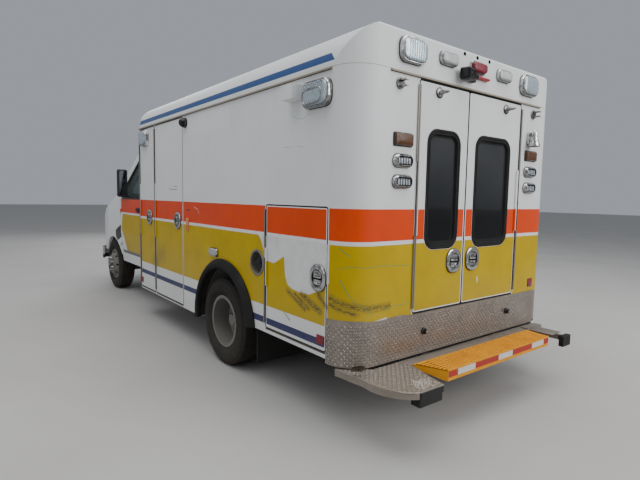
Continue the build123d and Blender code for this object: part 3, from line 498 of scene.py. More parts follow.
def plate_finish():
    """Worn aluminium tread plate: grey film, scratches and road film, with the rubber parts of the bumper."""
    finish = Finish("worn_tread_plate", Specular_IOR_Level=0.3)
    film = finish.noise(5.0, 5.0).spread(0.3, 0.72)
    across_plate = finish.stretched(180.0, 14.0, 60.0, (0.3, 0.2, 0.5))
    scratch = finish.noise(1.0, 3.0, across_plate).spread(0.60, 0.72)
    shade = finish.mix(film, (0.34, 0.30, 0.26), (0.20, 0.175, 0.15))
    shade = finish.mix(scratch * 0.5, shade, (0.56, 0.53, 0.49))
    low = finish.z.spread(0.50, 0.38) * film
    shade = finish.dusted(shade, low * 0.35)
    tail_face = finish.station.below(-0.4178, 0.0008) * finish.z.below(0.3965, 0.0005)
    under = finish.z.below(0.3595, 0.0005) * finish.station.below(-0.350, 0.001) * finish.y.above(0.7)
    block = finish.y.below(-0.775, 0.001) * finish.station.below(-0.300, 0.001)
    black = tail_face | under | block
    finish.colour(finish.mix(black, shade, (0.014, 0.014, 0.014)))
    finish.metallic(film.spread(0.0, 1.0, 0.80, 0.40) * (1.0 - black))
    finish.roughness(film.spread(0.0, 1.0, 0.34, 0.62))
    finish.bump(finish.noise(7.0, 3.0) + finish.noise(40.0, 3.0) * 0.12, 0.006, 0.7)
    return finish.material


worn_plate = plate_finish()
finishes["tread_plate"] = worn_plate


# The step: the grooves between its ribs, and the red and white tape on its tail
step_groove_x = (-0.328, -0.134)
step_groove_z = (0.4110, 0.4155)
tape_z = (0.371, 0.410)
red_runs = ((0.533, 0.628), (0.082, 0.350), (-0.356, -0.092), (-0.612, -0.525))


def step_finish():
    """Yellow-orange coating of the step, darker between its ribs, painted shade on faces that look down, and
    red and white tape on its tail.
    """
    finish = Finish("step_coating", Specular_IOR_Level=0.25)
    drift = finish.noise(7.0, 4.0).spread(0.3, 0.75)
    shade = finish.mix(drift, (0.80, 0.345, 0.012), (0.66, 0.265, 0.012))
    groove = finish.z.within(step_groove_z, 0.001) * finish.station.within(step_groove_x)
    shade = finish.mix(groove, shade, (0.20, 0.070, 0.006))
    behind = finish.station.below(-0.3292, 0.0004) * finish.z.within(tape_z, 0.0008)
    red = None
    for run in red_runs:
        red = joined(red, finish.y.within(run))
    tape = finish.mix(red, (0.66, 0.65, 0.62), (0.42, 0.035, 0.030))
    ends = finish.y.within((red_runs[-1][0], red_runs[0][1]))
    worn = finish.noise(55.0, 5.0).spread(0.28, 0.36)
    shade = finish.mix(behind * ends * worn, shade, tape)
    # Painted shade on the faces that look down
    under = finish.shade_facing_down()
    finish.colour(finish.mix(under * 0.6, shade, (0.22, 0.09, 0.01)))
    finish.roughness(drift.spread(0.0, 1.0, 0.62, 0.80))
    finish.bump(finish.noise(180.0, 3.0), 0.001)
    return finish.material


finishes["step_paint"] = step_finish()


def dress_cad_nodes():
    for part in frame["record"]["subparts"]:
        slot = part["material_slot"]
        if slot in finishes:
            use([part["node"]], finishes[slot])


def station_of(paint):
    return paint.station


def across_of(paint):
    return paint.y


def side_edges(name):
    """A side door's outline: how to read across it, and its lowest and highest corner."""
    low_x, high_x, low_z, high_z = door_sheets[name]
    return station_of, (low_x, low_z), (high_x, high_z)


# Outline of each door's sheet: lowest and highest station and z, and y of the rear doors' edges
door_top = 2.190
wide_door = (2.497, 3.271, 0.345, door_top)
low_locker = (0.224, 0.930, 0.480, 1.380)
door_sheets = {"front_locker_door": (3.295, 3.783, 0.345, door_top), "tall_locker_door": wide_door,
               "rear_locker_door": low_locker, "entry_door": wide_door, "right_rear_locker_door": low_locker}
rear_sheets = {"rear_door_left": (0.074, 0.593), "rear_door_right": (-0.610, 0.064)}
rear_doorway = (rear_sheets["rear_door_right"][0], rear_sheets["rear_door_left"][1])
rear_sheet_z = (0.700, door_top)
# Where the hinges stand out: past the sheet, and from the front edge of a side door
knuckle_out = 0.0016
barrel_start = 0.0040
# The edge of the wheel arch, a panel painted over on the left wall, the camera's arm and the frame's foot
arch_r = 0.4716
old_panel_x, old_panel_z = (1.52, 2.42), (2.000, 2.185)
camera_arm_x = (0.500, 0.645)
frame_foot = 0.430


def paint_body():
    skin = box_half + knuckle_out
    for name in door_sheets:
        window = []
        if name == "entry_door":
            low_x, high_x, low_z, high_z = entry_window
            window = [(station_of, (low_x, low_z), (high_x, high_z), entry_window_corner)]
        paint, bands = box_paint(f"paint_{name}", doors=[side_edges(name)], windows=window)
        if name == "rear_locker_door":
            bands = bare_patch(paint, bands)
        if name == "tall_locker_door":
            nicks = drawn(paint, paint.station, tall_door_nicks, 0.0028) * paint.y.above(outer_skin)
            bands = paint.mix(nicks, bands, (0.05, 0.05, 0.05))
        barrel = side_edges(name)[2][0] + barrel_start
        knuckle = paint.side.above(skin, 0.0003) * paint.station.above(barrel, 0.0005)
        use([name], finish_paint(paint, bands, metal=knuckle))
    for name, (low, high) in rear_sheets.items():
        low_y, high_y, low_z, high_z = rear_windows[name.rsplit("_", 1)[1]]
        sheet = (across_of, (low, rear_sheet_z[0]), (high, rear_sheet_z[1]))
        window = (across_of, (low_y, low_z), (high_y, high_z), rear_window_corner)
        paint, bands = box_paint(f"paint_{name}", doors=[sheet], windows=[window])
        chip = drawn(paint, paint.y, door_chip, 0.0055) * paint.station.below(0.010)
        bands = paint.mix(chip, bands, white)
        outer = abs(paint.y - (rear_doorway[1] + rear_doorway[0]) / 2)
        knuckle = paint.station.below(-knuckle_out, 0.0003) * outer.above(0.6052, 0.0005)
        use([name], finish_paint(paint, bands, metal=knuckle))
    for wall, names in (("module_left_wall", ("front_locker_door", "tall_locker_door", "rear_locker_door")),
                        ("module_right_wall", ("entry_door", "right_rear_locker_door"))):
        paint, bands = box_paint(f"paint_{wall}", openings=[side_edges(name) for name in names])
        bands = wall_marks(paint, bare_patch(paint, bands))
        # Painted shade, black, on the wall's edge faces round the rear wheel opening
        from_axle = paint.from_line(paint.station, paint.z, rear_axle, (rear_axle[0] + 0.001, rear_axle[1]))
        bands = paint.mix(from_axle.below(arch_r, 0.0005), bands, black_trim_and_shade)
        old_panel = paint.station.within(old_panel_x, 0.004) * paint.z.within(old_panel_z, 0.004)
        bands = paint.mix(old_panel * paint.y.above(0.5) * 0.5, bands, (0.79, 0.80, 0.81))
        camera = paint.station.within(camera_arm_x) * paint.z.above(2.0)
        use([wall], finish_paint(paint, bands, metal=paint.side.above(skin, 0.0003) * (1.0 - camera)))
    doorway = (across_of, (rear_doorway[0], rear_sheet_z[0]), (rear_doorway[1], rear_sheet_z[1]))
    paint, bands = box_paint("paint_rear_frame", openings=[doorway])
    # Painted shade, black, under the drip rail above the rear doors
    over_doors = paint.z.within((door_top, 2.212)) * paint.y.within(rear_doorway)
    bands = paint.mix(over_doors * paint.station.below(0.001, 0.0005), bands, black_trim_and_shade)
    bands = paint.mix(paint.z.below(frame_foot), bands, black_trim_and_shade)
    wrapped = paint.y.below(kick_ends[0] + 0.002) * paint.z.within((frame_foot, kick_span[1]))
    bands = paint.mix(wrapped * paint.station.below(0.030, 0.001), bands, (0.20, 0.18, 0.155))
    bands = corner_marks(paint, bands)
    use(["module_rear_frame"], finish_paint(paint, bands, metal=paint.station.below(-knuckle_out, 0.0003)))
    paint, bands = box_paint("paint_front_wall", lined=False)
    use(["module_front_wall"], finish_paint(paint, bands))


# Where the vinyl is torn off beside the rear locker: station and height of its lower edge
bare_edge = [(0.211, 0.913), (0.325, 0.844), (0.398, 0.814), (0.513, 0.812), (0.594, 0.818), (0.650, 0.841),
             (0.679, 0.893), (0.696, 1.031), (0.828, 0.967), (0.914, 0.973), (0.955, 1.024), (1.005, 1.122),
             (1.047, 1.157)]
scuffs = [((0.650, 0.800), (0.445, 0.708), 0.030), ((0.560, 0.790), (0.400, 0.720), 0.026),
          ((0.480, 0.800), (0.286, 0.726), 0.044), ((0.301, 0.829), (0.218, 0.764), 0.034),
          ((0.689, 0.639), (0.617, 0.597), 0.012)]
corner_scuffs = [((0.186, 0.828), (-0.016, 0.770), 0.040), ((0.190, 0.790), (0.040, 0.745), 0.026)]
# Hand-drawn lines and small damage: across and z of their points
rear_ink = [[(0.622, 1.018), (0.906, 1.033), (1.030, 1.026), (1.085, 1.034), (1.128, 1.016)],
            [(1.126, 0.950), (1.100, 0.870), (1.065, 0.812), (1.035, 0.800), (0.972, 0.745)],
            [(0.868, 0.752), (0.765, 0.769), (0.630, 0.768)],
            [(1.128, 1.138), (1.110, 1.112), (1.085, 1.092)]]
side_ink = [[(0.632, 2.012), (0.614, 1.977), (0.562, 1.952), (0.495, 1.947), (0.431, 1.967)],
            [(0.711, 1.778), (0.627, 1.775)], [(0.557, 1.775), (0.479, 1.763)]]
wall_nicks = [[(2.403, 1.297), (2.342, 1.299)]]
wall_scrapes = [[(2.224, 1.331), (2.145, 1.315), (2.112, 1.275)]]
tall_door_nicks = [[(2.862, 1.502), (2.642, 1.494)], [(2.722, 1.532), (2.641, 1.521)]]
plate_chip = [[(0.950, 0.684), (0.880, 0.690), (0.840, 0.696)]]
door_chip = [[(-0.119, 0.872), (-0.128, 0.838)]]


def drawn(paint, across, lines, wide):
    """Smooth hand-drawn lines of one width."""
    found = None
    for line in lines:
        for start, end in zip(line, line[1:]):
            found = joined(found, paint.from_line(across, paint.z, start, end).below(wide, wide * 0.5))
    return found


def strokes(paint, across, lines):
    """Rough strokes, each with its own width, broken up by grain."""
    grain = paint.noise(1.0, 5.0, paint.stretched(34.0, 34.0, 190.0, (0.0, -0.42, 0.0))).spread(0.34, 0.54)
    found = None
    for start, end, wide in lines:
        found = joined(found, paint.from_line(across, paint.z, start, end).below(wide * 0.5, wide * 0.5))
    return found * grain


def bare_patch(paint, bands):
    """White ground where the yellow vinyl is torn off, and the dark scrapes below it."""
    high = bare_edge[-1][0]
    edge = paint.curve(paint.station, bare_edge, 0.5, 1.0) + (paint.noise(30.0, 4.0) - 0.5) * 0.012
    patch = (paint.z - edge).above(0.0) * paint.z.below(yellow_band[1]) * paint.station.within((0.10, high))
    patch = patch * paint.y.above(outer_skin)
    ground = paint.mix(paint.noise(12.0, 5.0).spread(0.4, 0.8), (0.70, 0.70, 0.70), (0.60, 0.59, 0.58))
    bands = paint.mix(patch, bands, ground)
    scrape = strokes(paint, paint.station, scuffs) * paint.y.above(outer_skin)
    return paint.mix(scrape * 0.85, bands, (0.035, 0.032, 0.03))


def corner_marks(paint, bands):
    """Scrapes and thin marker strokes on the rear left corner."""
    scrape = strokes(paint, paint.station, corner_scuffs) * paint.y.above(0.8)
    bands = paint.mix(scrape * 0.8, bands, (0.04, 0.036, 0.03))
    bands = paint.mix(drawn(paint, paint.y, plate_chip, 0.008) * paint.station.below(0.02), bands, white)
    return paint.mix(drawn(paint, paint.y, rear_ink, 0.0022) * 0.85, bands, (0.12, 0.28, 0.10))


def wall_marks(paint, bands):
    """Pen lines, nicks and a scrape on the left wall."""
    left = paint.y.above(outer_skin)
    bands = paint.mix(drawn(paint, paint.station, side_ink, 0.0022) * left * 0.6, bands, (0.16, 0.38, 0.36))
    scrape = drawn(paint, paint.station, wall_scrapes, 0.0050)
    bands = paint.mix(scrape * left * 0.6, bands, (0.62, 0.50, 0.45))
    return paint.mix(drawn(paint, paint.station, wall_nicks, 0.0060) * left, bands, (0.05, 0.04, 0.04))


def paint_roof():
    paint = enamel("paint_roof")
    base = paint.mix(paint.noise(2.2, 4.0).spread(0.3, 0.75), white, (0.70, 0.705, 0.70))
    slant = (paint.z - roof_stripe[0]) * 0.9
    length = (paint.station - slant).above(roof_stripe_x[0]) * paint.station.below(roof_stripe_x[1])
    stripe = paint.z.within(roof_stripe) * length * paint.side.above(0.9, 0.01)
    base = paint.mix(stripe, base, (0.035, 0.085, 0.23))
    rail = paint.z.below(rail_top, 0.001)
    base = paint.mix(rail * 0.9, base, (0.26, 0.215, 0.145))
    # Painted shade, black, on the underside of the drip rail
    base = paint.mix(paint.z.below(2.2020, 0.0010), base, black_trim_and_shade)
    use(["module_roof"], finish_paint(paint, base))


# The cab: where the yellow ends on the fender, and the windows that its black trim follows
cab_yellow_end = [(0.600, 4.930), (0.810, 5.020), (0.950, 5.120), (1.157, 5.070)]
side_window = (4.285, 5.075, 1.392, 1.880)
side_window_slant = ((5.075, 1.490), (4.632, 1.872))
trim_wide = 0.024
cab_door_inside = 0.978
door_trim = (0.13, 0.13, 0.135)
# The black surround of the windscreen
screen_half, screen_x, screen_z = 0.838, (4.6, 5.42), (1.424, 1.978)


def cab_bands(paint):
    """The stripes carried on to the cab, with the slanting front edge of the yellow."""
    bands = paint_bands(paint, cab_yellow_low)
    bands = paint.mix(paint.z.below(cab_yellow_low), bands, white)
    limit = paint.curve(paint.z, cab_yellow_end, 4.9, 0.25)
    low_front = (paint.station - limit).above(0.0) * paint.z.below(yellow_band[1] + 0.01)
    return paint.mix(low_front | paint.station.above(cab_stripe_end), bands, white)


def paint_cab():
    paint = enamel("paint_cab")
    door_bands = paint.mix(window_trim(paint), cab_bands(paint), black_trim_and_shade)
    inner_panel = paint.side.below(cab_door_inside) * paint.z.below(side_window[2] - trim_wide)
    door_bands = paint.mix(inner_panel, door_bands, door_trim)
    use(["cab_door_left", "cab_door_right"], finish_paint(paint, door_bands))
    shell = enamel("paint_cab_shell")
    bands = cab_bands(shell)
    half_wide = screen_half - (shell.z - 1.45) * 0.13
    screen = (half_wide - shell.side).above(0.0) * shell.z.within(screen_z)
    screen = screen * shell.station.within(screen_x)
    ragged = (shell.noise(26.0, 4.0) - 0.5) * 0.05
    liner = (shell.from_line(shell.station, shell.z, (5.090, 0.930), (5.370, 0.840)) + ragged).below(0.085)
    use(["cab_frame", "cab_roof", "cab_bridge", "fenders", "hood"],
        finish_paint(shell, shell.mix(screen | liner * shell.y.above(0.6), bands, black_trim_and_shade)))
    front = enamel("paint_nose")
    mesh_area = front.side.below(0.4405) * front.z.within((0.6995, 1.0105))
    use(["grille"], finish_paint(front, front.mix(mesh_area, white, (0.016, 0.016, 0.017))))
    bumper = enamel("paint_front_bumper")
    black = bumper.z.below(0.462, 0.002) | bumper.z.above(0.583, 0.001)
    bars = bumper.mix(black, (0.55, 0.55, 0.54), (0.016, 0.016, 0.017))
    use(["front_bumper"], finish_paint(bumper, bars))


def window_trim(paint):
    """1 on the black band round the window of a cab door."""
    low_x, high_x, low_z, high_z = side_window
    (foot_x, foot_z), (head_x, head_z) = side_window_slant
    run, rise = head_x - foot_x, head_z - foot_z
    size = math.hypot(run, rise)
    past_slant = (paint.station - foot_x) * (rise / size) - (paint.z - foot_z) * (run / size)
    frame = paint.station.within((low_x - trim_wide, high_x + trim_wide)) * paint.z.within(
        (low_z - trim_wide, high_z + trim_wide))
    return frame * past_slant.below(trim_wide)


# Forms made from rings of points

def rounded(wide, tall, corner, height=0.0, steps=6):
    """Outline of a rounded rectangle about the origin, counter-clockwise."""
    corner = min(corner, wide / 2, tall / 2)
    points = []
    for turn, (sx, sy) in enumerate(((1, 1), (-1, 1), (-1, -1), (1, -1))):
        for step in range(steps + 1):
            angle = math.radians(90 * (turn + step / steps))
            points.append(Vector((sx * (wide / 2 - corner) + corner * math.cos(angle),
                                  sy * (tall / 2 - corner) + corner * math.sin(angle), height)))
    return points


def disc(r, height=0.0):
    return rounded(2 * r, 2 * r, r, height)


def facing(origin, right, up):
    """Placement whose local X runs to the right, Y up and Z out of the surface."""
    right, up = Vector(right), Vector(up)
    place = Matrix((right, up, right.cross(up))).transposed().to_4x4()
    place.translation = origin
    return place


def on_rear(y, z, out=0.0):
    return facing(at(-out, y, z), (0, -1, 0), (0, 0, 1))


def on_left(x, z, out=0.0):
    return facing(at(x, box_half + out, z), (-1, 0, 0), (0, 0, 1))


def on_right(x, z, out=0.0):
    return facing(at(x, -box_half - out, z), (1, 0, 0), (0, 0, 1))


class Piece:
    """One piece in the making: its points and faces, and the finish of each face."""

    def __init__(self, name, body, slot):
        self.name = name
        self.body = body
        self.slot = slot
        self.points = []
        self.faces = []
        self.face_looks = []
        self.materials = []

    def look(self, material):
        if material not in self.materials:
            self.materials.append(material)
        return self.materials.index(material)

    def strip(self, place, rings, looks, closed=True):
        """Join rings of points by strips of faces, each with its own look, and close the last ring."""
        put = place if callable(place) else place.__matmul__
        first = len(self.points)
        count = len(rings[0])
        for ring in rings:
            self.points.extend(put(point) for point in ring)
        for level in range(len(rings) - 1):
            start = first + level * count
            for step in range(count):
                a, b = start + step, start + (step + 1) % count
                self.faces.append((a, b, b + count, a + count))
                self.face_looks.append(self.look(looks[min(level, len(looks) - 1)]))
        if closed:
            last = first + (len(rings) - 1) * count
            self.faces.append(tuple(range(last, last + count)))
            self.face_looks.append(self.look(looks[-1]))

    def pressing(self, place, size, profile, closed=True):
        """A form pressed up from a rounded outline. The profile gives inset, height and look."""
        wide, tall, corner = size
        rings = [rounded(wide - 2 * inset, tall - 2 * inset, max(corner - inset, 0.0008), height)
                 for inset, height, _ in profile]
        self.strip(place, rings, [look for _, _, look in profile[1:]], closed)

    def turned(self, place, profile):
        """A round form about local Z. The profile gives radius, height and look."""
        rings = [disc(r, height) for r, height, _ in profile]
        self.strip(place, rings, [look for _, _, look in profile[1:]])

    def block(self, place, size, bevel, look):
        """A box with bevelled edges that stands on the placement's plane."""
        wide, tall, high = size
        self.pressing(place, (wide, tall, bevel), [
            (bevel, 0.0, look), (0.0, bevel, look), (0.0, high - bevel, look), (bevel, high, look)])

    def rod(self, start, end, r, look, sides=10):
        """A round bar with bevelled ends between two points in the frame."""
        start, end = Vector(start), Vector(end)
        along = end - start
        right = along.orthogonal().normalized()
        place = facing(start, right, along.normalized().cross(right))
        nib = min(r * 0.3, along.length / 4)
        self.strip(place, [rounded(2 * s, 2 * s, s, h, sides // 4) for s, h in (
            (r - nib, 0), (r, nib), (r, along.length - nib), (r - nib, along.length))], [look])

    def done(self, sharp=38.0):
        mesh = bpy.data.meshes.new(self.name)
        mesh.from_pydata(self.points, [], self.faces)
        for material in self.materials:
            mesh.materials.append(material)
        mesh.polygons.foreach_set("material_index", self.face_looks)
        return settle(mesh, self.name, self.body, self.slot, sharp)


def settle(mesh, name, body, slot, sharp=38.0):
    """Merge doubled points, shade the mesh, and set it on its body."""
    work = bmesh.new()
    work.from_mesh(mesh)
    bmesh.ops.remove_doubles(work, verts=work.verts, dist=0.00002)
    bmesh.ops.dissolve_degenerate(work, edges=work.edges, dist=0.00001)
    work.to_mesh(mesh)
    work.free()
    mesh.polygons.foreach_set("use_smooth", [True] * len(mesh.polygons))
    mesh.set_sharp_from_angle(angle=math.radians(sharp))
    piece = bpy.data.objects.new(name, mesh)
    bpy.context.scene.collection.objects.link(piece)
    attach(piece, body)
    return piece


# Small forms that repeat

def repeat_tree():
    """Node tree that stands one tapered stud on every point, turned by the point's own attribute."""
    tree = bpy.data.node_groups.new("repeated_studs", "GeometryNodeTree")
    sockets = {}
    for name, kind in (("Points", "Geometry"), ("Long", "Float"), ("Wide", "Float"), ("High", "Float"),
                       ("Taper", "Float"), ("Sides", "Int"), ("Finish", "Material")):
        socket = tree.interface.new_socket(name, in_out="INPUT", socket_type=f"NodeSocket{kind}")
        sockets[name] = socket.identifier
    tree.interface.new_socket("Studs", in_out="OUTPUT", socket_type="NodeSocketGeometry")
    given = tree.nodes.new("NodeGroupInput").outputs
    result = tree.nodes.new("NodeGroupOutput").inputs
    stud = tree.nodes.new("GeometryNodeMeshCone")
    size = tree.nodes.new("ShaderNodeCombineXYZ")
    sized = tree.nodes.new("GeometryNodeTransform")
    turn = tree.nodes.new("GeometryNodeInputNamedAttribute")
    turn.data_type = "FLOAT_VECTOR"
    turn.inputs["Name"].default_value = "turn"
    stand = tree.nodes.new("GeometryNodeInstanceOnPoints")
    real = tree.nodes.new("GeometryNodeRealizeInstances")
    finish = tree.nodes.new("GeometryNodeSetMaterial")
    stud.inputs["Radius Bottom"].default_value = 0.5
    stud.inputs["Depth"].default_value = 1.0
    for start, end in (
            (given["Sides"], stud.inputs["Vertices"]), (given["Taper"], stud.inputs["Radius Top"]),
            (given["Long"], size.inputs["X"]), (given["Wide"], size.inputs["Y"]),
            (given["High"], size.inputs["Z"]), (size.outputs[0], sized.inputs["Scale"]),
            (stud.outputs["Mesh"], sized.inputs["Geometry"]),
            (given["Points"], stand.inputs["Points"]), (sized.outputs[0], stand.inputs["Instance"]),
            (turn.outputs["Attribute"], stand.inputs["Rotation"]), (stand.outputs[0], real.inputs[0]),
            (real.outputs[0], finish.inputs["Geometry"]), (given["Finish"], finish.inputs["Material"]),
            (finish.outputs[0], result["Studs"])):
        tree.links.new(start, end)
    return tree, sockets


stud_tree, stud_sockets = repeat_tree()


def studs(name, body, slot, points, turns, size, material, sides, taper=0.3, wrap=None):
    """Stand a tapered stud on each point, then lay the whole field over a bent surface if it has one."""
    seeds = bpy.data.meshes.new(f"{name}_points")
    seeds.from_pydata(points, [], [])
    turned = seeds.attributes.new("turn", "FLOAT_VECTOR", "POINT")
    turned.data.foreach_set("vector", [angle for turn in turns for angle in turn])
    holder = bpy.data.objects.new(f"{name}_holder", seeds)
    bpy.context.scene.collection.objects.link(holder)
    modifier = holder.modifiers.new("repeat", "NODES")
    modifier.node_group = stud_tree
    for key, value in (("Long", size[0]), ("Wide", size[1]), ("High", size[2]), ("Taper", taper),
                       ("Sides", sides), ("Finish", material)):
        modifier[stud_sockets[key]] = value
    graph = bpy.context.evaluated_depsgraph_get()
    mesh = bpy.data.meshes.new_from_object(holder.evaluated_get(graph))
    mesh.name = name
    bpy.data.objects.remove(holder)
    if wrap:
        for vertex in mesh.vertices:
            vertex.co = wrap(vertex.co)
    return settle(mesh, name, body, slot)


# Finishes of the small pieces

def bright_metal(name, colour=(0.80, 0.80, 0.79), rough=0.14, spots=0.35):
    """Plated metal with faint pitting and dulled patches, and painted shade on faces that look down."""
    finish = Finish(name)
    dull = finish.noise(14.0, 4.0).spread(0.45, 0.8)
    pits = finish.noise(160.0, 2.0).spread(0.62, 0.72)
    shade = finish.mix(dull * spots, colour, tuple(c * 0.55 for c in colour))
    stain = finish.noise(42.0, 2.0).spread(0.50, 0.60)
    shade = finish.mix(stain * spots, shade, tuple(c * 0.30 for c in colour))
    # Painted shade on the faces that look down
    finish.colour(finish.mix(finish.shade_facing_down() * 0.75, shade, tuple(c * 0.22 for c in colour)))
    finish.metallic(1.0 - pits * 0.3)
    finish.roughness(dull.spread(0.0, 1.0, rough, rough + 0.22))
    finish.bump(finish.noise(60.0, 3.0), 0.0004, 0.6)
    return finish.material


def lens(name, colour, deeper, ribs=170.0, rough=0.16, metal=0.0):
    """Moulded lens with fine upright ribs under a glossy skin, and painted shade on faces that look down."""
    finish = Finish(name, Coat_Weight=0.15, Coat_Roughness=0.05, IOR=1.45, Specular_IOR_Level=0.4)
    along = finish.y + finish.x
    ridge = finish.node("ShaderNodeMath", {"operation": "SINE"}, [along * (ribs * 6.283)])
    blot = finish.noise(22.0, 3.0).spread(0.3, 0.75)
    cells = finish.node("ShaderNodeMath", {"operation": "SINE"}, [finish.z * (ribs * 3.1)])
    shade = finish.mix(((ridge * cells) * 0.50 + blot).spread(0.0, 1.0), colour, deeper)
    # Painted shade on the faces that look down
    finish.colour(finish.mix(finish.shade_facing_down() * 0.6, shade, tuple(c * 0.35 for c in colour)))
    finish.roughness(blot.spread(0.0, 1.0, rough, rough + 0.12))
    finish.metallic(blot.spread(0.0, 1.0, metal, metal * 0.6))
    finish.bump(ridge * 0.5, 0.0010, 0.6)
    return finish.material


chrome = bright_metal("plated_metal", (0.66, 0.66, 0.65), 0.10, 0.8)
# A darker copy of the plating, laid on slopes, rings and hollows as painted reflection and shade
shaded_chrome = bright_metal("shaded_plating", (0.34, 0.34, 0.34), 0.30)
cup_shade = bright_metal("cup_shade", (0.10, 0.10, 0.10), 0.35)
steel = bright_metal("bare_steel", (0.48, 0.46, 0.43), 0.34, 0.6)
clear_lens = lens("clear_lamp_lens", (0.60, 0.68, 0.74), (0.26, 0.33, 0.38), ribs=48.0, metal=0.5)
grey_lens = lens("grey_lamp_lens", (0.52, 0.53, 0.53), (0.36, 0.37, 0.37), metal=0.3)
red_lens = lens("red_lamp_lens", (0.27, 0.010, 0.026), (0.14, 0.005, 0.012), ribs=90.0)
amber_lens = lens("amber_lamp_lens", (0.125, 0.046, 0.012), (0.062, 0.022, 0.006), ribs=60.0, rough=0.24)
turn_lens = lens("turn_lamp_lens", (0.62, 0.17, 0.012), (0.40, 0.09, 0.008), ribs=80.0)
rubber = finishes["black_rubber"]
moulding = finishes["black_plastic"]
gloss_black = plain_finish("gloss_black", (0.012, 0.012, 0.013), 0.14, dust=0.06)
led_cell = lens("lamp_cell", (0.72, 0.76, 0.82), (0.42, 0.46, 0.52), ribs=40.0, rough=0.08, metal=0.5)
bar_metal = bright_metal("raised_bars", (0.40, 0.355, 0.31), 0.36, 0.6)
cup_metal = plain_finish("filler_cup", (0.20, 0.18, 0.15), 0.55, 0.4)
pebble = plain_finish("gravel", (0.50, 0.46, 0.40), 0.85)
hasp_paint = plain_finish("hasp_paint", (0.66, 0.28, 0.13), 0.5)
mirror_face = bright_metal("mirror_face", (0.30, 0.32, 0.34), 0.04, 0.1)
red_paint = plain_finish("red_bar", (0.42, 0.045, 0.05), 0.45)
fixing = bright_metal("fixings", (0.55, 0.55, 0.54), 0.28, 0.5)


# Lamps

def lamp(piece, place, wide, tall, deep, glass, grown=0.0):
    """Plated housing with a domed lens, its corners as round as the real one's."""
    wide, tall, deep = wide + 2 * grown, tall + 2 * grown, deep + grown
    corner = 0.34 * tall
    rim = 0.07 * tall
    piece.pressing(place, (wide, tall, corner), [
        (-0.0020, 0.0, rubber), (-0.0020, 0.0035, rubber), (0.0, 0.0035, rubber),
        (0.0, 0.55 * deep, chrome), (0.0018, 0.66 * deep, chrome), (0.005, 0.725 * deep, chrome),
        (rim - 0.003, 0.725 * deep, chrome), (rim - 0.001, 0.68 * deep, moulding),
        (rim, 0.68 * deep, moulding), (rim + 0.0005, 0.80 * deep, glass), (rim + 0.004, 0.92 * deep, glass),
        (rim + 0.012, 0.975 * deep, glass), (0.30 * tall, deep, glass)])
    for way in (-1, 1):
        spot = place @ Matrix.Translation((way * (wide / 2 - rim * 0.55), 0.18 * tall, 0.725 * deep))
        piece.turned(spot, [(0.0042, -0.001, steel), (0.0042, 0.0012, steel), (0.0026, 0.0020, steel)])


def cell_lamp(piece, place, wide, tall, deep):
    """Oval plated housing round a dark window with a row of bright cells."""
    corner = 0.47 * tall
    piece.pressing(place, (wide, tall, corner), [
        (-0.0020, 0.0, rubber), (-0.0020, 0.0030, rubber), (0.0, 0.0030, rubber),
        (0.0, 0.4 * deep, chrome), (0.004, 0.72 * deep, chrome), (0.012, 0.93 * deep, chrome),
        (0.015, 0.93 * deep, chrome), (0.017, 0.60 * deep, moulding), (0.019, 0.52 * deep, moulding)])
    for cell in range(5):
        spot = place @ Matrix.Translation(((cell - 2) * 0.0235, -0.001, 0.50 * deep))
        piece.pressing(spot, (0.019, 0.040, 0.008), [
            (0.0, 0.0, shaded_chrome), (0.0, 0.0085, chrome), (0.002, 0.0085, chrome),
            (0.004, 0.005, led_cell), (0.006, 0.0075, led_cell), (0.008, 0.009, led_cell)])


def amber_lamp(piece, place, wide, tall, deep):
    """Brown lens on a black base."""
    piece.pressing(place, (wide, tall, 0.010), [
        (0.0, 0.0, moulding), (0.0, 0.007, moulding), (0.003, 0.009, moulding), (0.005, 0.009, moulding),
        (0.006, 0.60 * deep, amber_lens), (0.010, 0.90 * deep, amber_lens),
        (0.020, 0.98 * deep, amber_lens), (0.036, deep, amber_lens)])


def red_lamp(piece, place, wide, tall, deep):
    """Red lens that stands proud of a plated base."""
    piece.pressing(place, (wide, tall, 0.034), [
        (0.0, 0.0, chrome), (0.0, 0.35 * deep, chrome), (0.003, 0.42 * deep, chrome),
        (0.009, 0.42 * deep, chrome), (0.010, 0.40 * deep, moulding), (0.0105, 0.80 * deep, red_lens),
        (0.015, 0.94 * deep, red_lens), (0.026, deep, red_lens)])


# Width, height and depth of each kind of lamp, and places across and up
rear_big = (0.229, 0.154, 0.045)
rear_small = (0.170, 0.086, 0.035)
small_lamp = (0.170, 0.085, 0.030)
corner_lamp = (0.270, 0.165, 0.050)
corner_lamp_place = (0.335, 2.075)
front_lamp = (0.229, 0.178, 0.045)
front_lamp_place = (3.595, 2.085)
marker_lamp = (0.150, 0.072, 0.028)
over_door = 0.0014
tail_camera = (0.085, 2.279)


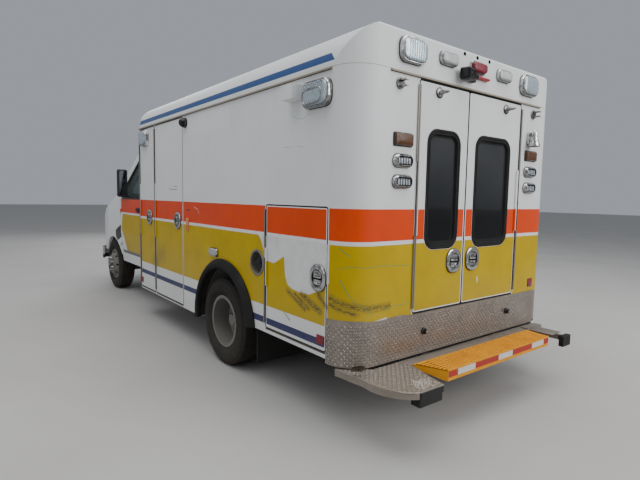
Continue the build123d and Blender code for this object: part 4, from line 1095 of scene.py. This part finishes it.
def make_lamps():
    piece = Piece("body_lamps", "chassis", "lamp_glass")
    for y in (0.683, -0.683):
        lamp(piece, on_rear(y, 2.346), *rear_big, clear_lens)
    for y in (0.331, -0.331):
        lamp(piece, on_rear(y, 2.363), *rear_small, grey_lens)
    red_lamp(piece, on_rear(0.0, 2.364), 0.178, 0.084, 0.040)
    for y in (0.740, -0.780):
        amber_lamp(piece, on_rear(y, 1.807), *small_lamp[:2], 0.025)
        cell_lamp(piece, on_rear(y, 1.678), *small_lamp)
        cell_lamp(piece, on_rear(y, 1.550), *small_lamp)
    for place, way in ((on_left, 1), (on_right, -1)):
        lamp(piece, place(*corner_lamp_place), *corner_lamp, clear_lens)
        lamp(piece, place(1.789, 0.950), *marker_lamp, grey_lens)
        face = place(*corner_lamp_place) @ Matrix.Translation((0, 0, corner_lamp[2]))
        for cell in range(5):
            spot = face @ Matrix.Translation(((cell - 2) * 0.040, 0.046, -0.002))
            piece.pressing(spot, (0.032, 0.030, 0.008), [
                (0.0, 0.0, shaded_chrome), (0.0, 0.0030, chrome), (0.003, 0.0032, chrome),
                (0.005, -0.002, shaded_chrome), (0.009, 0.0016, led_cell)])
        middle = Matrix.Translation((way * -0.012, -0.016, -0.001))
        scoop = face @ middle @ Matrix.Rotation(way * 0.05, 4, "Z")
        # Darker plating inside the scoop as painted shade
        piece.pressing(scoop, (0.196, 0.092, 0.040), [
            (-0.003, -0.002, moulding), (-0.002, 0.0005, shaded_chrome), (0.0, 0.0030, chrome),
            (0.006, 0.0034, chrome), (0.010, -0.0020, shaded_chrome), (0.020, -0.0080, shaded_chrome),
            (0.034, -0.0030, chrome)])
    lamp(piece, on_right(*front_lamp_place), *front_lamp, clear_lens)
    bell = facing(at(-0.0475, -0.747, 2.006), (0, -1, 0), (-1, 0, 0))
    piece.turned(bell, [
        (0.006, 0.0, chrome), (0.015, 0.002, chrome), (0.021, 0.010, chrome), (0.0245, 0.030, chrome),
        (0.029, 0.060, chrome), (0.037, 0.092, chrome), (0.0462, 0.118, chrome), (0.0470, 0.124, chrome),
        (0.0440, 0.128, shaded_chrome), (0.0400, 0.126, grey_lens), (0.012, 0.120, grey_lens)])
    piece.pressing(on_rear(-0.747, 1.943), (0.060, 0.100, 0.014), [
        (0.0, 0.0, chrome), (0.0, 0.012, chrome), (0.004, 0.030, chrome)])
    red_spot = on_rear(-0.891, 0.758)
    piece.pressing(red_spot, (0.070, 0.070, 0.004), [
        (0.0, 0.0, moulding), (0.0, 0.003, moulding), (0.003, 0.004, red_lens), (0.005, 0.006, red_lens)])
    camera = on_rear(*tail_camera)
    piece.block(camera, (0.070, 0.050, 0.034), 0.004, moulding)
    head = camera @ Matrix.Translation((-0.104, 0.008, 0.0)) @ Matrix.Rotation(math.radians(10), 4, "Y")
    piece.pressing(head, (0.104, 0.080, 0.016), [
        (0.022, 0.010, gloss_black), (0.0, 0.026, gloss_black), (0.0, 0.078, gloss_black),
        (0.003, 0.085, gloss_black), (0.013, 0.093, gloss_black), (0.018, 0.093, gloss_black),
        (0.020, 0.087, moulding)])
    piece.turned(head @ Matrix.Translation((0, 0, 0.086)), [
        (0.016, 0.0, moulding), (0.016, 0.003, moulding), (0.013, 0.004, moulding),
        (0.012, 0.001, gloss_black), (0.007, 0.005, gloss_black)])
    piece.pressing(camera @ Matrix.Translation((-0.040, 0.004, 0.018)), (0.120, 0.040, 0.016), [
        (0.0, 0.0, gloss_black), (0.0, 0.040, gloss_black), (0.006, 0.050, gloss_black),
        (0.014, 0.053, gloss_black)])
    bar = on_rear(-0.038, 2.299)
    piece.pressing(bar, (0.180, 0.018, 0.008), [
        (0.0, 0.0, red_paint), (0.0, 0.022, red_paint), (0.003, 0.028, red_paint),
        (0.006, 0.030, red_paint)])
    for y in (-0.148, 0.0, 0.148):
        piece.turned(on_rear(y, 2.436), [
            (0.0135, -0.002, moulding), (0.0135, 0.0012, moulding), (0.0112, 0.0016, moulding),
            (0.0100, -0.004, moulding), (0.0095, -0.008, gloss_black)])
    ring = facing(at(0.052, 1.040, 2.360), Vector((-0.72, -0.69, 0.0)).normalized(), (0, 0, 1))
    piece.turned(ring, [(0.026, -0.012, moulding), (0.026, 0.003, moulding), (0.021, 0.006, moulding),
                        (0.015, 0.004, moulding), (0.013, 0.006, grey_lens), (0.006, 0.008, grey_lens)])
    for y in (-0.78, -0.15, 0.0, 0.15, 0.78):
        front = facing(at(box_front, y, 2.405), (0, 1, 0), (0, 0, 1))
        piece.pressing(front, (0.062, 0.026, 0.010), [
            (0.0, -0.001, moulding), (0.0, 0.004, moulding), (0.002, 0.005, moulding),
            (0.003, 0.010, turn_lens), (0.006, 0.013, turn_lens), (0.010, 0.014, turn_lens)])
    for way in (1, -1):
        headlamp(piece, way)
    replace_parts(piece.done(), "exterior_lamps")
    door = Piece("front_door_lamp", "front_locker_door", "lamp_glass")
    lamp(door, on_left(*front_lamp_place), *front_lamp, clear_lens, over_door)
    door.done()


nose = 6.310
headlamp_place = (0.685, 0.900)
headlamp_size = (0.328, 0.218)


def nose_skin(y, z):
    """Station of the cab's nose, which falls back to the sides and towards the hood."""
    return min(nose - 0.045 * (abs(y) - 0.45) / 0.495, nose - (z - 0.96) / 3)


def headlamp(piece, way):
    """Clear lens in a black surround, with the amber lamp at its outer end."""
    def put(point):
        y = way * (headlamp_place[0] - point.x)
        z = headlamp_place[1] + point.y
        return at(nose_skin(y, z) + point.z, y, z)
    turn = (lambda ring: ring) if way > 0 else (lambda ring: ring[::-1])
    wide, tall = headlamp_size
    rings = [turn(rounded(wide - 2 * inset, tall - 2 * inset, 0.018, high)) for inset, high in (
        (0.0, -0.080), (0.0, -0.004), (0.003, -0.001), (0.010, -0.001), (0.013, -0.007), (0.017, -0.004),
        (0.040, -0.001), (0.075, 0.0), (0.105, 0.0))]
    piece.strip(put, rings, [moulding, moulding, moulding, moulding, clear_lens])
    amber = []
    for inset, high in ((0.0, -0.004), (0.001, 0.0008), (0.004, 0.0014)):
        ring = rounded(0.046 - 2 * inset, 0.190 - 2 * inset, 0.010, high)
        amber.append(turn([point + Vector((-0.134, 0.0, 0.0)) for point in ring]))
    piece.strip(put, amber, [turn_lens])


# Latches, windows and small fittings of the doors

def latch(piece, place):
    """Plated paddle latch: a dished oval bezel, a cup, the paddle across it and its lock."""
    cover = 0.0009
    wide, tall, corner = 0.158 + 2 * cover, 0.172 + 2 * cover, 0.068
    rings = [rounded(wide, tall, corner, 0.0), rounded(wide, tall, corner, 0.0060),
             rounded(wide - 0.003, tall - 0.003, corner, 0.0098),
             rounded(wide - 0.010, tall - 0.010, corner, 0.0127),
             rounded(wide - 0.022, tall - 0.022, corner - 0.008, 0.0142),
             disc(0.0600, 0.0146), disc(0.0550, 0.0132), disc(0.0500, 0.0126),
             disc(0.0470, -0.012), disc(0.0420, -0.0175)]
    # Darker plating on the bezel's slopes as painted reflection, and the dark cup as painted shade
    piece.strip(place, rings, [moulding, shaded_chrome, chrome, chrome, chrome, shaded_chrome, cup_shade])
    for up, high, top in ((0.0230, 0.0490, 0.0122), (-0.0280, 0.0370, 0.0110)):
        piece.pressing(place @ Matrix.Translation((0, up, 0)), (0.0760, high, 0.005), [
            (0.0, -0.017, cup_shade), (0.0, top - 0.004, shaded_chrome), (0.0015, top - 0.001, chrome),
            (0.004, top, chrome)])
    # A black bar across the paddle: painted shade of the recess behind it
    piece.pressing(place @ Matrix.Translation((0.006, 0.0130, 0)), (0.0560, 0.0065, 0.003), [
        (0.0, 0.0100, gloss_black), (0.0, 0.0124, gloss_black), (0.0010, 0.0128, gloss_black)])
    lock = place @ Matrix.Translation((0.016, -0.029, 0.0165))
    piece.turned(lock, [(0.0085, -0.006, steel), (0.0085, -0.002, chrome), (0.0070, -0.0012, chrome),
                        (0.0060, -0.0020, steel), (0.0012, -0.0022, gloss_black)])


def window_rubber(piece, place, wide, tall, corner, depth, proud=0.004):
    """Thick rubber section round a window, with its locking strip and a ledge against the glass."""
    piece.pressing(place, (wide, tall, corner), [
        (-0.0060, 0.0004, rubber), (-0.0065, 0.0020, rubber), (-0.0040, proud, rubber),
        (0.0060, proud + 0.001, rubber), (0.0110, proud - 0.001, rubber), (0.0125, proud - 0.0035, rubber),
        (0.0150, proud - 0.0035, rubber), (0.0165, proud - 0.0005, rubber), (0.0260, proud - 0.0015, rubber),
        (0.0330, -depth * 0.45, rubber), (0.0350, -depth + 0.0010, rubber), (0.0460, -depth + 0.0010, rubber),
        (0.0480, -depth + 0.0004, rubber)], closed=False)


# The body that each fitting rides on, its wall, and its place across and up
latches = [
    ("front_locker_door", on_left, 3.467, 1.183), ("tall_locker_door", on_left, 2.623, 1.184),
    ("rear_locker_door", on_left, 0.305, 0.937), ("entry_door", on_right, 2.623, 1.184),
    ("right_rear_locker_door", on_right, 0.305, 0.937), ("rear_door_left", on_rear, 0.180, 1.017),
    ("rear_door_right", on_rear, -0.041, 1.017)]
rear_windows = {"left": (0.155, 0.500, 1.114, 1.900), "right": (-0.480, -0.030, 1.105, 1.905)}
rear_window_corner = 0.090
entry_window = (2.659, 3.109, 1.330, 1.860)
entry_window_corner = 0.060
reflectors = [("front_locker_door", on_left, 3.761, 0.418), ("rear_locker_door", on_left, 0.272, 0.546),
              ("right_rear_locker_door", on_right, 0.272, 0.546), ("entry_door", on_right, 3.240, 0.418)]
stay_pins = {"left": (0.403, 2.138), "right": (-0.396, 2.132)}
stay_catches = ((0.778, 2.140), (-0.795, 2.140))


def make_door_fittings():
    for body, place, across, up in latches:
        piece = Piece(f"{body}_latch", body, "white_paint")
        latch(piece, place(across, up))
        piece.done()
    for side, (low_y, high_y, low_z, high_z) in rear_windows.items():
        piece = Piece(f"rear_window_rubber_{side}", f"rear_door_{side}", "black_rubber")
        middle = on_rear((low_y + high_y) / 2, (low_z + high_z) / 2)
        window_rubber(piece, middle, high_y - low_y, high_z - low_z, rear_window_corner, 0.014)
        piece.done()
        pin = Piece(f"rear_door_stay_{side}", f"rear_door_{side}", "plain_metal")
        pin.turned(on_rear(*stay_pins[side]), [
            (0.0350, 0.0, moulding), (0.0350, 0.006, moulding), (0.0300, 0.009, cup_shade),
            (0.0240, 0.0112, shaded_chrome), (0.0160, 0.0116, shaded_chrome), (0.0146, 0.018, steel),
            (0.0100, 0.060, steel), (0.0079, 0.078, steel), (0.0060, 0.0806, steel)])
        pin.done()
    low_x, high_x, low_z, high_z = entry_window
    piece = Piece("entry_window_rubber", "entry_door", "black_rubber")
    middle = on_right((low_x + high_x) / 2, (low_z + high_z) / 2)
    window_rubber(piece, middle, high_x - low_x, high_z - low_z, entry_window_corner, 0.020)
    piece.done()
    for body, place, across, up in reflectors:
        piece = Piece(f"{body}_reflector", body, "lamp_glass")
        piece.pressing(place(across, up), (0.080, 0.058, 0.006), [
            (0.0, -0.0005, moulding), (0.0, 0.003, moulding), (0.002, 0.004, red_lens),
            (0.004, 0.006, red_lens)])
        piece.done()
    piece = Piece("door_stay_catches", "chassis", "plain_metal")
    for y, z in stay_catches:
        place = on_rear(y, z)
        piece.turned(place, [
            (0.0360, 0.0, moulding), (0.0360, 0.005, moulding), (0.0338, 0.006, shaded_chrome),
            (0.030, 0.0106, shaded_chrome), (0.022, 0.0109, cup_shade)])
        for way in (-1, 1):
            prong = place @ Matrix.Translation((0, way * 0.018, 0.0))
            piece.pressing(prong, (0.0275, 0.0104, 0.003), [
                (0.0, 0.009, steel), (0.0, 0.056, steel), (0.0025, 0.0607, steel)])
    piece.done()


# Fittings of the left wall

def make_wall_fittings():
    piece = Piece("left_wall_fittings", "chassis", "black_plastic")
    dome = on_left(2.412, 2.129)
    piece.turned(dome, [
        (0.0462, 0.0, moulding), (0.0462, 0.018, moulding), (0.0440, 0.0225, moulding),
        (0.0428, 0.023, moulding), (0.0428, 0.026, gloss_black), (0.0400, 0.039, gloss_black),
        (0.0330, 0.051, gloss_black), (0.0230, 0.0600, gloss_black), (0.0110, 0.0648, gloss_black)])
    eye = facing(at(0.635, box_half + 0.041, 2.113), (0, 1, 0), (0, 0, 1))
    piece.pressing(eye, (0.064, 0.074, 0.010), [
        (0.0, -0.001, moulding), (0.0, 0.003, moulding), (0.003, 0.004, moulding),
        (0.008, 0.001, gloss_black)])
    piece.turned(eye, [(0.020, 0.001, steel), (0.020, 0.006, steel), (0.016, 0.008, steel),
                       (0.014, 0.003, gloss_black), (0.008, 0.006, gloss_black)])
    filler = on_left(1.060, 0.945)
    piece.turned(filler, [
        (0.1008, 0.0002, moulding), (0.1008, 0.0045, shaded_chrome), (0.0985, 0.0060, shaded_chrome),
        (0.0850, 0.0062, shaded_chrome), (0.0832, 0.0040, cup_metal), (0.0825, -0.058, cup_metal),
        (0.0800, -0.0605, cup_metal)])
    piece.turned(filler, [
        (0.0415, -0.061, moulding), (0.0430, -0.034, moulding), (0.0430, -0.020, moulding),
        (0.0400, -0.015, moulding), (0.0300, -0.0135, moulding)])
    piece.pressing(filler, (0.072, 0.018, 0.006), [
        (0.0, -0.015, moulding), (0.0, -0.004, moulding), (0.003, -0.001, moulding)])
    hasp = on_left(2.3695, 1.160)
    piece.pressing(hasp, (0.052, 0.120, 0.010), [
        (0.0, 0.0, hasp_paint), (0.0, 0.010, hasp_paint), (0.003, 0.0130, hasp_paint),
        (0.007, 0.0132, hasp_paint)])
    piece.pressing(hasp @ Matrix.Translation((0, -0.022, 0)), (0.022, 0.044, 0.006), [
        (0.0, 0.012, hasp_paint), (0.0, 0.024, hasp_paint), (0.003, 0.027, hasp_paint),
        (0.006, 0.027, hasp_paint)])
    for up in (-0.046, 0.046):
        piece.turned(hasp @ Matrix.Translation((0, up, 0)), [
            (0.0052, 0.012, fixing), (0.0052, 0.0155, fixing), (0.0034, 0.0168, fixing)])
    piece.done()


# Tread plate, step and bumper

# The kick plate: how far it stands out, its span in z, and its ends measured along the tail and corner
kick_out = 0.0052
kick_span = (0.416, 0.682)
kick_ends = (-0.944, 1.282)
plate_pitch = 0.0185


def round_corner(point):
    """Bend the flat field, given as length along the tail, height and depth, round the rear corner."""
    straight = box_half - corner_r
    r = corner_r + kick_out + point.z
    if point.x <= straight:
        return at(-kick_out - point.z, point.x, point.y)
    angle = (point.x - straight) / (corner_r + kick_out)
    if angle < math.pi / 2:
        return at(corner_r - r * math.cos(angle), straight + r * math.sin(angle), point.y)
    beyond = point.x - straight - (corner_r + kick_out) * math.pi / 2
    return at(corner_r + beyond, box_half + kick_out + point.z, point.y)


def checker(along, across):
    """Places of the raised bars of tread plate, each turned against its neighbours."""
    places = []
    rows = int((across[1] - across[0]) / plate_pitch)
    columns = int((along[1] - along[0]) / plate_pitch)
    for row in range(rows):
        for column in range(columns):
            slant = 45 if (row + column) % 2 else -45
            x, y = along[0] + (column + 0.5) * plate_pitch, across[0] + (row + 0.5) * plate_pitch
            places.append((x, y, slant))
    return places


def inside(outline, x, y):
    """Whether a point lies inside an outline, by crossings."""
    found = False
    for (xa, ya), (xb, yb) in zip(outline, outline[1:] + outline[:1]):
        if (ya > y) != (yb > y) and x < (xb - xa) * (y - ya) / (yb - ya) + xa:
            found = not found
    return found


# Left wing of the bumper: the edge of its flat top and the line of its rolled rim, as station and y
wing_outline = [(0.105, 1.137), (-0.120, 1.114), (-0.240, 1.100), (-0.325, 1.079), (-0.390, 1.030),
                (-0.412, 0.975), (-0.412, 0.806), (-0.300, 0.777), (-0.133, 0.725), (-0.024, 0.742),
                (-0.024, 0.968), (0.092, 1.108)]
wing_rim = [(0.112, 1.143), (-0.120, 1.1235), (-0.200, 1.1125), (-0.270, 1.0995), (-0.330, 1.0865),
            (-0.378, 1.058), (-0.404, 1.022), (-0.417, 0.984), (-0.4185, 0.960), (-0.4185, 0.802),
            (-0.380, 0.7905), (-0.299, 0.769), (-0.200, 0.7375), (-0.136, 0.7175)]
wing_field = ((-0.424, 0.110), (0.710, 1.148))
wing_top = 0.4018
rim_z, rim_r = 0.3985, 0.0055
bar_size = (0.0180, 0.0058, 0.0017)
step_top = 0.4195


def make_tail():
    bars = checker(kick_ends, kick_span)
    knobs = [(0.480, 0.562), (-0.534, 0.562)]
    bars = [(u, v, turn) for u, v, turn in bars
            if all(math.hypot(u - ku, v - kv) > 0.036 for ku, kv in knobs) and not kick_ends[0] < u < -0.640]
    studs("kick_plate_bars", "chassis", "tread_plate", [(u, v, 0.0) for u, v, _ in bars],
          [(0.0, 0.0, math.radians(turn)) for _, _, turn in bars], bar_size, bar_metal, sides=6,
          wrap=round_corner)
    places = [(x, y, turn) for x, y, turn in checker(*wing_field) if inside(wing_outline, x, y)]
    studs("bumper_wing_bars", "chassis", "tread_plate", [at(x, y, wing_top) for x, y, _ in places],
          [(0.0, 0.0, math.radians(turn)) for _, _, turn in places], bar_size, bar_metal, sides=6)
    piece = Piece("bumper_trim", "chassis", "tread_plate")
    for start, end in zip(wing_rim, wing_rim[1:]):
        piece.rod(at(*start, rim_z), at(*end, rim_z), rim_r, worn_plate, sides=12)
    strip = facing(at(-0.0555, -0.110, 0.3950), (0, 1, 0), (-1, 0, 0))
    piece.block(strip, (1.660, 0.0920, 0.0042), 0.0010, worn_plate)
    flap = facing(at(0.022, -0.020, 0.3920), (0, 1, 0), (0, 0, 1))
    piece.block(flap, (1.960, 0.068, 0.006), 0.0010, rubber)
    tail_plate = facing(at(-0.190, -0.815, 0.3935), (0, 1, 0), (-1, 0, 0))
    piece.block(tail_plate, (0.150, 0.200, 0.0040), 0.0010, worn_plate)
    for y, z in knobs:
        piece.turned(on_rear(y, z, 0.005), [
            (0.0228, 0.0, rubber), (0.0228, 0.010, rubber), (0.0200, 0.0145, rubber),
            (0.0152, 0.0150, rubber), (0.0146, 0.022, rubber), (0.0152, 0.031, rubber),
            (0.0125, 0.0347, rubber), (0.0060, 0.0351, steel)])
    buffer = facing(at(-0.4135, 0.895, 0.3335), (0, -1, 0), (0, 0, 1))
    piece.pressing(buffer, (0.196, 0.050, 0.008), [
        (0.0, -0.056, rubber), (0.0, 0.000, rubber), (0.004, 0.0035, rubber), (0.018, 0.0035, rubber)])
    block = facing(at(-0.360, -0.840, 0.351), (0, -1, 0), (0, 0, 1))
    piece.pressing(block, (0.1215, 0.0835, 0.008), [
        (0.0, -0.0352, rubber), (0.0, -0.002, rubber), (0.004, 0.0010, rubber), (0.016, 0.0010, rubber)])
    torn = facing(at(-0.028, 1.105, 0.452), Vector((-0.45, -0.89, 0.0)).normalized(), (0, 0, 1))
    curl = [(-0.040, -0.026, 0.004), (0.034, -0.030, 0.006), (0.046, -0.008, 0.020), (0.038, 0.012, 0.034),
            (0.010, 0.020, 0.040), (-0.020, 0.014, 0.030), (-0.036, -0.002, 0.016)]
    thick = [Vector(point) for point in curl]
    piece.strip(torn, [thick, [p + Vector((0, 0.002, 0.003)) for p in thick],
                       [p * 0.82 + Vector((0, 0.004, 0.006)) for p in thick]], [bar_metal])
    piece.done()
    chance = random.Random(7)
    grit = [(chance.gauss(-0.345, 0.030), chance.gauss(0.885, 0.045)) for _ in range(110)]
    grit = [(x, y) for x, y in grit if inside(wing_outline, x, y)]
    studs("gravel_on_wing", "chassis", "tread_plate", [at(x, y, 0.4016) for x, y in grit],
          [(chance.uniform(-0.3, 0.3), chance.uniform(-0.3, 0.3), chance.uniform(0, 6.28)) for _ in grit],
          (0.0125, 0.0090, 0.0060), pebble, sides=5, taper=0.28)
    pads = []
    for rib in range(8):
        rib_x = -0.330 + 0.0246 * rib + 0.0062
        reach = 0.002 * (rib + 1)
        pads += [(rib_x, y) for y in (0.0285 * k - 0.584 - reach for k in range(43)) if y < 0.612 + reach]
    studs("step_pads", "rear_step", "step_paint", [at(x, y, step_top) for x, y in pads],
          [(0.0, 0.0, math.radians(45))] * len(pads), (0.0255, 0.0255, 0.0046), finishes["step_paint"],
          sides=4, taper=0.36)


# Wheels

# Half section of the tyre's wall and shoulder, as radius and offset from its middle
tyre_profile = [
    (0.205, 0.0800), (0.2235, 0.0800), (0.2265, 0.0835), (0.236, 0.0915), (0.252, 0.1010), (0.266, 0.1068),
    (0.2665, 0.1082), (0.276, 0.1096), (0.2765, 0.1084), (0.294, 0.1102), (0.309, 0.1108), (0.324, 0.1080),
    (0.338, 0.1036), (0.349, 0.0986), (0.3495, 0.0955), (0.3600, 0.0880), (0.3675, 0.0800), (0.3702, 0.0760)]
# The two grooves in each half of the tread, by their outer and inner edge
grooves = ((0.0520, 0.0470), (0.0175, 0.0125))
tread_crown = 0.3716
groove_r = 0.3610


def tyre_rings():
    """Half section of the tyre from bead to bead, with its grooves, as radius and offset."""
    half = list(tyre_profile)
    for outer, inner in grooves:
        half += [(tread_crown, outer), (groove_r, outer - 0.0008), (groove_r, inner + 0.0008),
                 (tread_crown, inner)]
    return half + [(r, -offset) for r, offset in half[::-1]]


def tyre(piece, x, y, segments=96):
    """Rolled tyre about its axle."""
    section = tyre_rings()
    rings = [[at(x + r * math.cos(2 * math.pi * step / segments), y + offset,
                 rear_axle[1] + r * math.sin(2 * math.pi * step / segments)) for step in range(segments)]
             for r, offset in section]
    piece.strip(lambda point: point, rings, [finishes["tyre_rubber"]], closed=False)


def around(x, y, r, count, half_step=0.0):
    """Points on a circle about an axle, with the turn that stands a stud outwards from its centre."""
    points, turns = [], []
    for step in range(count):
        angle = 2 * math.pi * (step + half_step) / count
        points.append(at(x + r * math.cos(angle), y, rear_axle[1] + r * math.sin(angle)))
        turns.append((0.0, math.pi / 2 - angle, 0.0))
    return points, turns


# Rows of fine cuts across the tread: offset from the middle and a start round the tyre
tread_rows = ((0.079, 0.0), (-0.079, 0.5), (0.0325, 0.25), (-0.0325, 0.75), (0.0, 0.5))
cuts_in_a_row = 56
nut_circle_r = 0.100
nut_count = 8


def make_wheels():
    sets = (("rear_tyres", "rear_wheels", rear_axle[0], (1.055, 0.785), 0.920),
            ("front_tyre", "front_wheel", front_axle[0], (0.881,), 1.016))
    for side, way in (("left", 1), ("right", -1)):
        for tyres, body, x, offsets, face in sets:
            body = f"{body}_{side}"
            piece = Piece(f"rolled_{tyres}_{side}", body, "tyre_rubber")
            for y in offsets:
                tyre(piece, x, way * y)
            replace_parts(piece.done(30), f"{tyres}_{side}")
            points, turns = [], []
            for y in offsets:
                for offset, half_step in tread_rows:
                    some_points, some_turns = around(x, way * y + offset, 0.3600, cuts_in_a_row, half_step)
                    points += some_points
                    turns += some_turns
            studs(f"tread_sipes_{body}", body, "tyre_rubber", points, turns, (0.0270, 0.0200, 0.0118),
                  finishes["tyre_rubber"], sides=4, taper=0.44)
            points, _ = around(x, way * (face - 0.001), nut_circle_r, nut_count, 0.5)
            outwards = [(-way * math.pi / 2, 0.0, 0.0)] * nut_count
            studs(f"wheel_nuts_{body}", body, "wheel_paint",
                  [p + Vector((0, way * 0.0125, 0)) for p in points], outwards,
                  (0.032, 0.032, 0.020), fixing, sides=6, taper=0.42)
            studs(f"wheel_studs_{body}", body, "wheel_paint",
                  [p + Vector((0, way * 0.030, 0)) for p in points], outwards,
                  (0.015, 0.015, 0.012), fixing, sides=10, taper=0.4)


# Cab fittings

# The windscreen's lower edge, the way up its slope and the way out of the glass
screen_foot = Vector((5.400, 0.0, 1.400))
screen_rise = Vector((-0.7607, 0.0, 0.6491))
screen_out = Vector((0.6491, 0.0, 0.7607))


def on_screen(y, up, out=0.0):
    """A point on the windscreen, from y and the way up its slope."""
    point = screen_foot + screen_rise * up + screen_out * out
    return at(point.x, y, point.z)


def make_cab_fittings():
    wipers = Piece("wipers", "chassis", "black_plastic")
    for pivot, tip, blade_end in ((0.66, 0.22, -0.02), (0.02, -0.40, -0.64)):
        wipers.rod(on_screen(pivot, 0.050, -0.004), on_screen(pivot, 0.050, 0.018), 0.014, moulding, 16)
        wipers.rod(on_screen(pivot, 0.050, 0.012), on_screen(tip, 0.098, 0.012), 0.0055, moulding, 12)
        for out, r, look in ((0.001, 0.0050, moulding), (-0.005, 0.0028, rubber)):
            wipers.rod(on_screen(pivot - 0.10, 0.092, out), on_screen(blade_end, 0.110, out), r, look, 12)
    wipers.done()
    for side, way in (("left", 1), ("right", -1)):
        body = f"cab_door_{side}"
        piece = Piece(f"cab_door_handle_{side}", body, "black_plastic")
        place = (on_left if way > 0 else on_right)(4.350, 1.230, -0.1600)
        piece.pressing(place, (0.128, 0.044, 0.012), [
            (-0.010, 0.010, moulding), (-0.010, 0.0235, moulding), (-0.006, 0.0255, moulding),
            (0.0, 0.0255, moulding), (0.001, 0.0330, moulding), (0.005, 0.0378, moulding),
            (0.010, 0.0384, moulding)])
        piece.done()
        glass = Piece(f"mirror_face_{side}", body, "black_plastic")
        place = facing(at(4.7605, way * 1.0725, 1.5875), (0, -1, 0), (0, 0, 1))
        glass.pressing(place, (0.106, 0.350, 0.026), [
            (0.0, -0.001, moulding), (0.0, 0.0020, moulding), (0.004, 0.0030, moulding),
            (0.006, 0.0012, moulding), (0.008, 0.0012, mirror_face)])
        glass.done()


# Seats

def cloth_finish():
    """Woven seat cloth: fine crossed threads and a soft colour drift."""
    finish = Finish("woven_seat_cloth", Specular_IOR_Level=0.2)
    warp = finish.node("ShaderNodeMath", {"operation": "SINE"}, [(finish.y + finish.z * 0.3) * 2600.0])
    weft = finish.node("ShaderNodeMath", {"operation": "SINE"}, [(finish.x - finish.z) * 2600.0])
    drift = finish.noise(9.0, 4.0).spread(0.3, 0.75)
    thread = (warp * weft).spread(-1.0, 1.0)
    shade = finish.mix(drift, (0.085, 0.088, 0.098), (0.055, 0.057, 0.064))
    finish.colour(finish.mix(thread * 0.5, shade, (0.13, 0.13, 0.14)))
    finish.roughness(drift.spread(0.0, 1.0, 0.82, 0.95))
    finish.bump(thread, 0.0006, 0.8)
    return finish.material


most_swelling = 0.012
seam_wide, seam_deep = 0.007, 0.010


def pad_mesh(size):
    """A cushion about the origin: swollen by cloth simulation, then sewn down along two channels."""
    wide, tall, thick = size
    form = Piece("pad_form", "chassis", "seat_fabric")
    form.pressing(Matrix.Translation((0, 0, -thick / 2)), (wide, tall, 0.045), [
        (0.030, 0.0, None), (0.010, 0.008, None), (0.0, 0.030, None), (0.0, thick - 0.030, None),
        (0.010, thick - 0.008, None), (0.030, thick, None)])
    form.faces.append(tuple(reversed(range(len(rounded(1, 1, 0.1))))))
    mesh = bpy.data.meshes.new("pad_form")
    mesh.from_pydata(form.points, [], form.faces)
    holder = bpy.data.objects.new("pad_form", mesh)
    bpy.context.scene.collection.objects.link(holder)
    remesh = holder.modifiers.new("even", "REMESH")
    remesh.mode = "VOXEL"
    remesh.voxel_size = 0.009
    start = new_mesh(holder)
    holder.modifiers.clear()
    holder.data = start
    before = [vertex.co.copy() for vertex in start.vertices]
    cloth = holder.modifiers.new("swell", "CLOTH")
    cloth.settings.use_pressure = True
    cloth.settings.uniform_pressure_force = 4.0
    cloth.settings.effector_weights.gravity = 0.0
    cloth.settings.quality = 5
    for step in range(1, 21):
        bpy.context.scene.frame_set(step)
    swollen = new_mesh(holder)
    holder.modifiers.clear()
    bpy.context.scene.frame_set(1)
    holder.data = swollen
    for vertex, rest in zip(holder.data.vertices, before):
        move = vertex.co - rest
        if move.length > most_swelling:
            vertex.co = rest + move.normalized() * most_swelling
        sewn = sum(math.exp(-((vertex.co.x - seam) / seam_wide) ** 2) for seam in (-0.24 * wide, 0.24 * wide))
        front = max(0.0, vertex.co.z / (thick / 2))
        vertex.co.z -= seam_deep * min(1.0, sewn) * front
    result = holder.data
    bpy.data.objects.remove(holder)
    return result


def new_mesh(holder):
    graph = bpy.context.evaluated_depsgraph_get()
    return bpy.data.meshes.new_from_object(holder.evaluated_get(graph))


def make_seats():
    cloth = cloth_finish()
    lean = Vector((-0.162, 0.0, 0.9868)).normalized()
    near_upright = Vector((-0.05, 0, 0.9987)).normalized()
    pads = {
        "cushion": (pad_mesh((0.470, 0.430, 0.140)), (4.565, 0.902), Vector((-1, 0, 0))),
        "back": (pad_mesh((0.460, 0.640, 0.105)), (4.333, 1.265), lean),
        "headrest": (pad_mesh((0.230, 0.165, 0.075)), (4.262, 1.690), near_upright)}
    for side, y in (("left", 0.440), ("right", -0.440)):
        base = Piece(f"seat_base_{side}", "chassis", "seat_fabric")
        foot = facing(at(4.545, y, 0.641), (0, 1, 0), (-1, 0, 0))
        base.block(foot, (0.380, 0.310, 0.190), 0.012, moulding)
        for post_y in (-0.05, 0.05):
            base.rod(at(4.285, y + post_y, 1.550), at(4.266, y + post_y, 1.640), 0.006, steel)
        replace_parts(base.done(), "seats")
        for name, (mesh, (x, z), up) in pads.items():
            place = facing(at(x, y, z), (0, 1, 0), up)
            copy = mesh.copy()
            copy.transform(place)
            copy.materials.clear()
            copy.materials.append(cloth)
            pad = settle(copy, f"seat_{name}_{side}", "chassis", "seat_fabric", 60.0)
            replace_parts(pad, "seats")


place_camera()
light_stage()
dress_cad_nodes()
paint_body()
paint_roof()
paint_cab()
make_lamps()
make_door_fittings()
make_wall_fittings()
make_tail()
make_wheels()
make_cab_fittings()
make_seats()
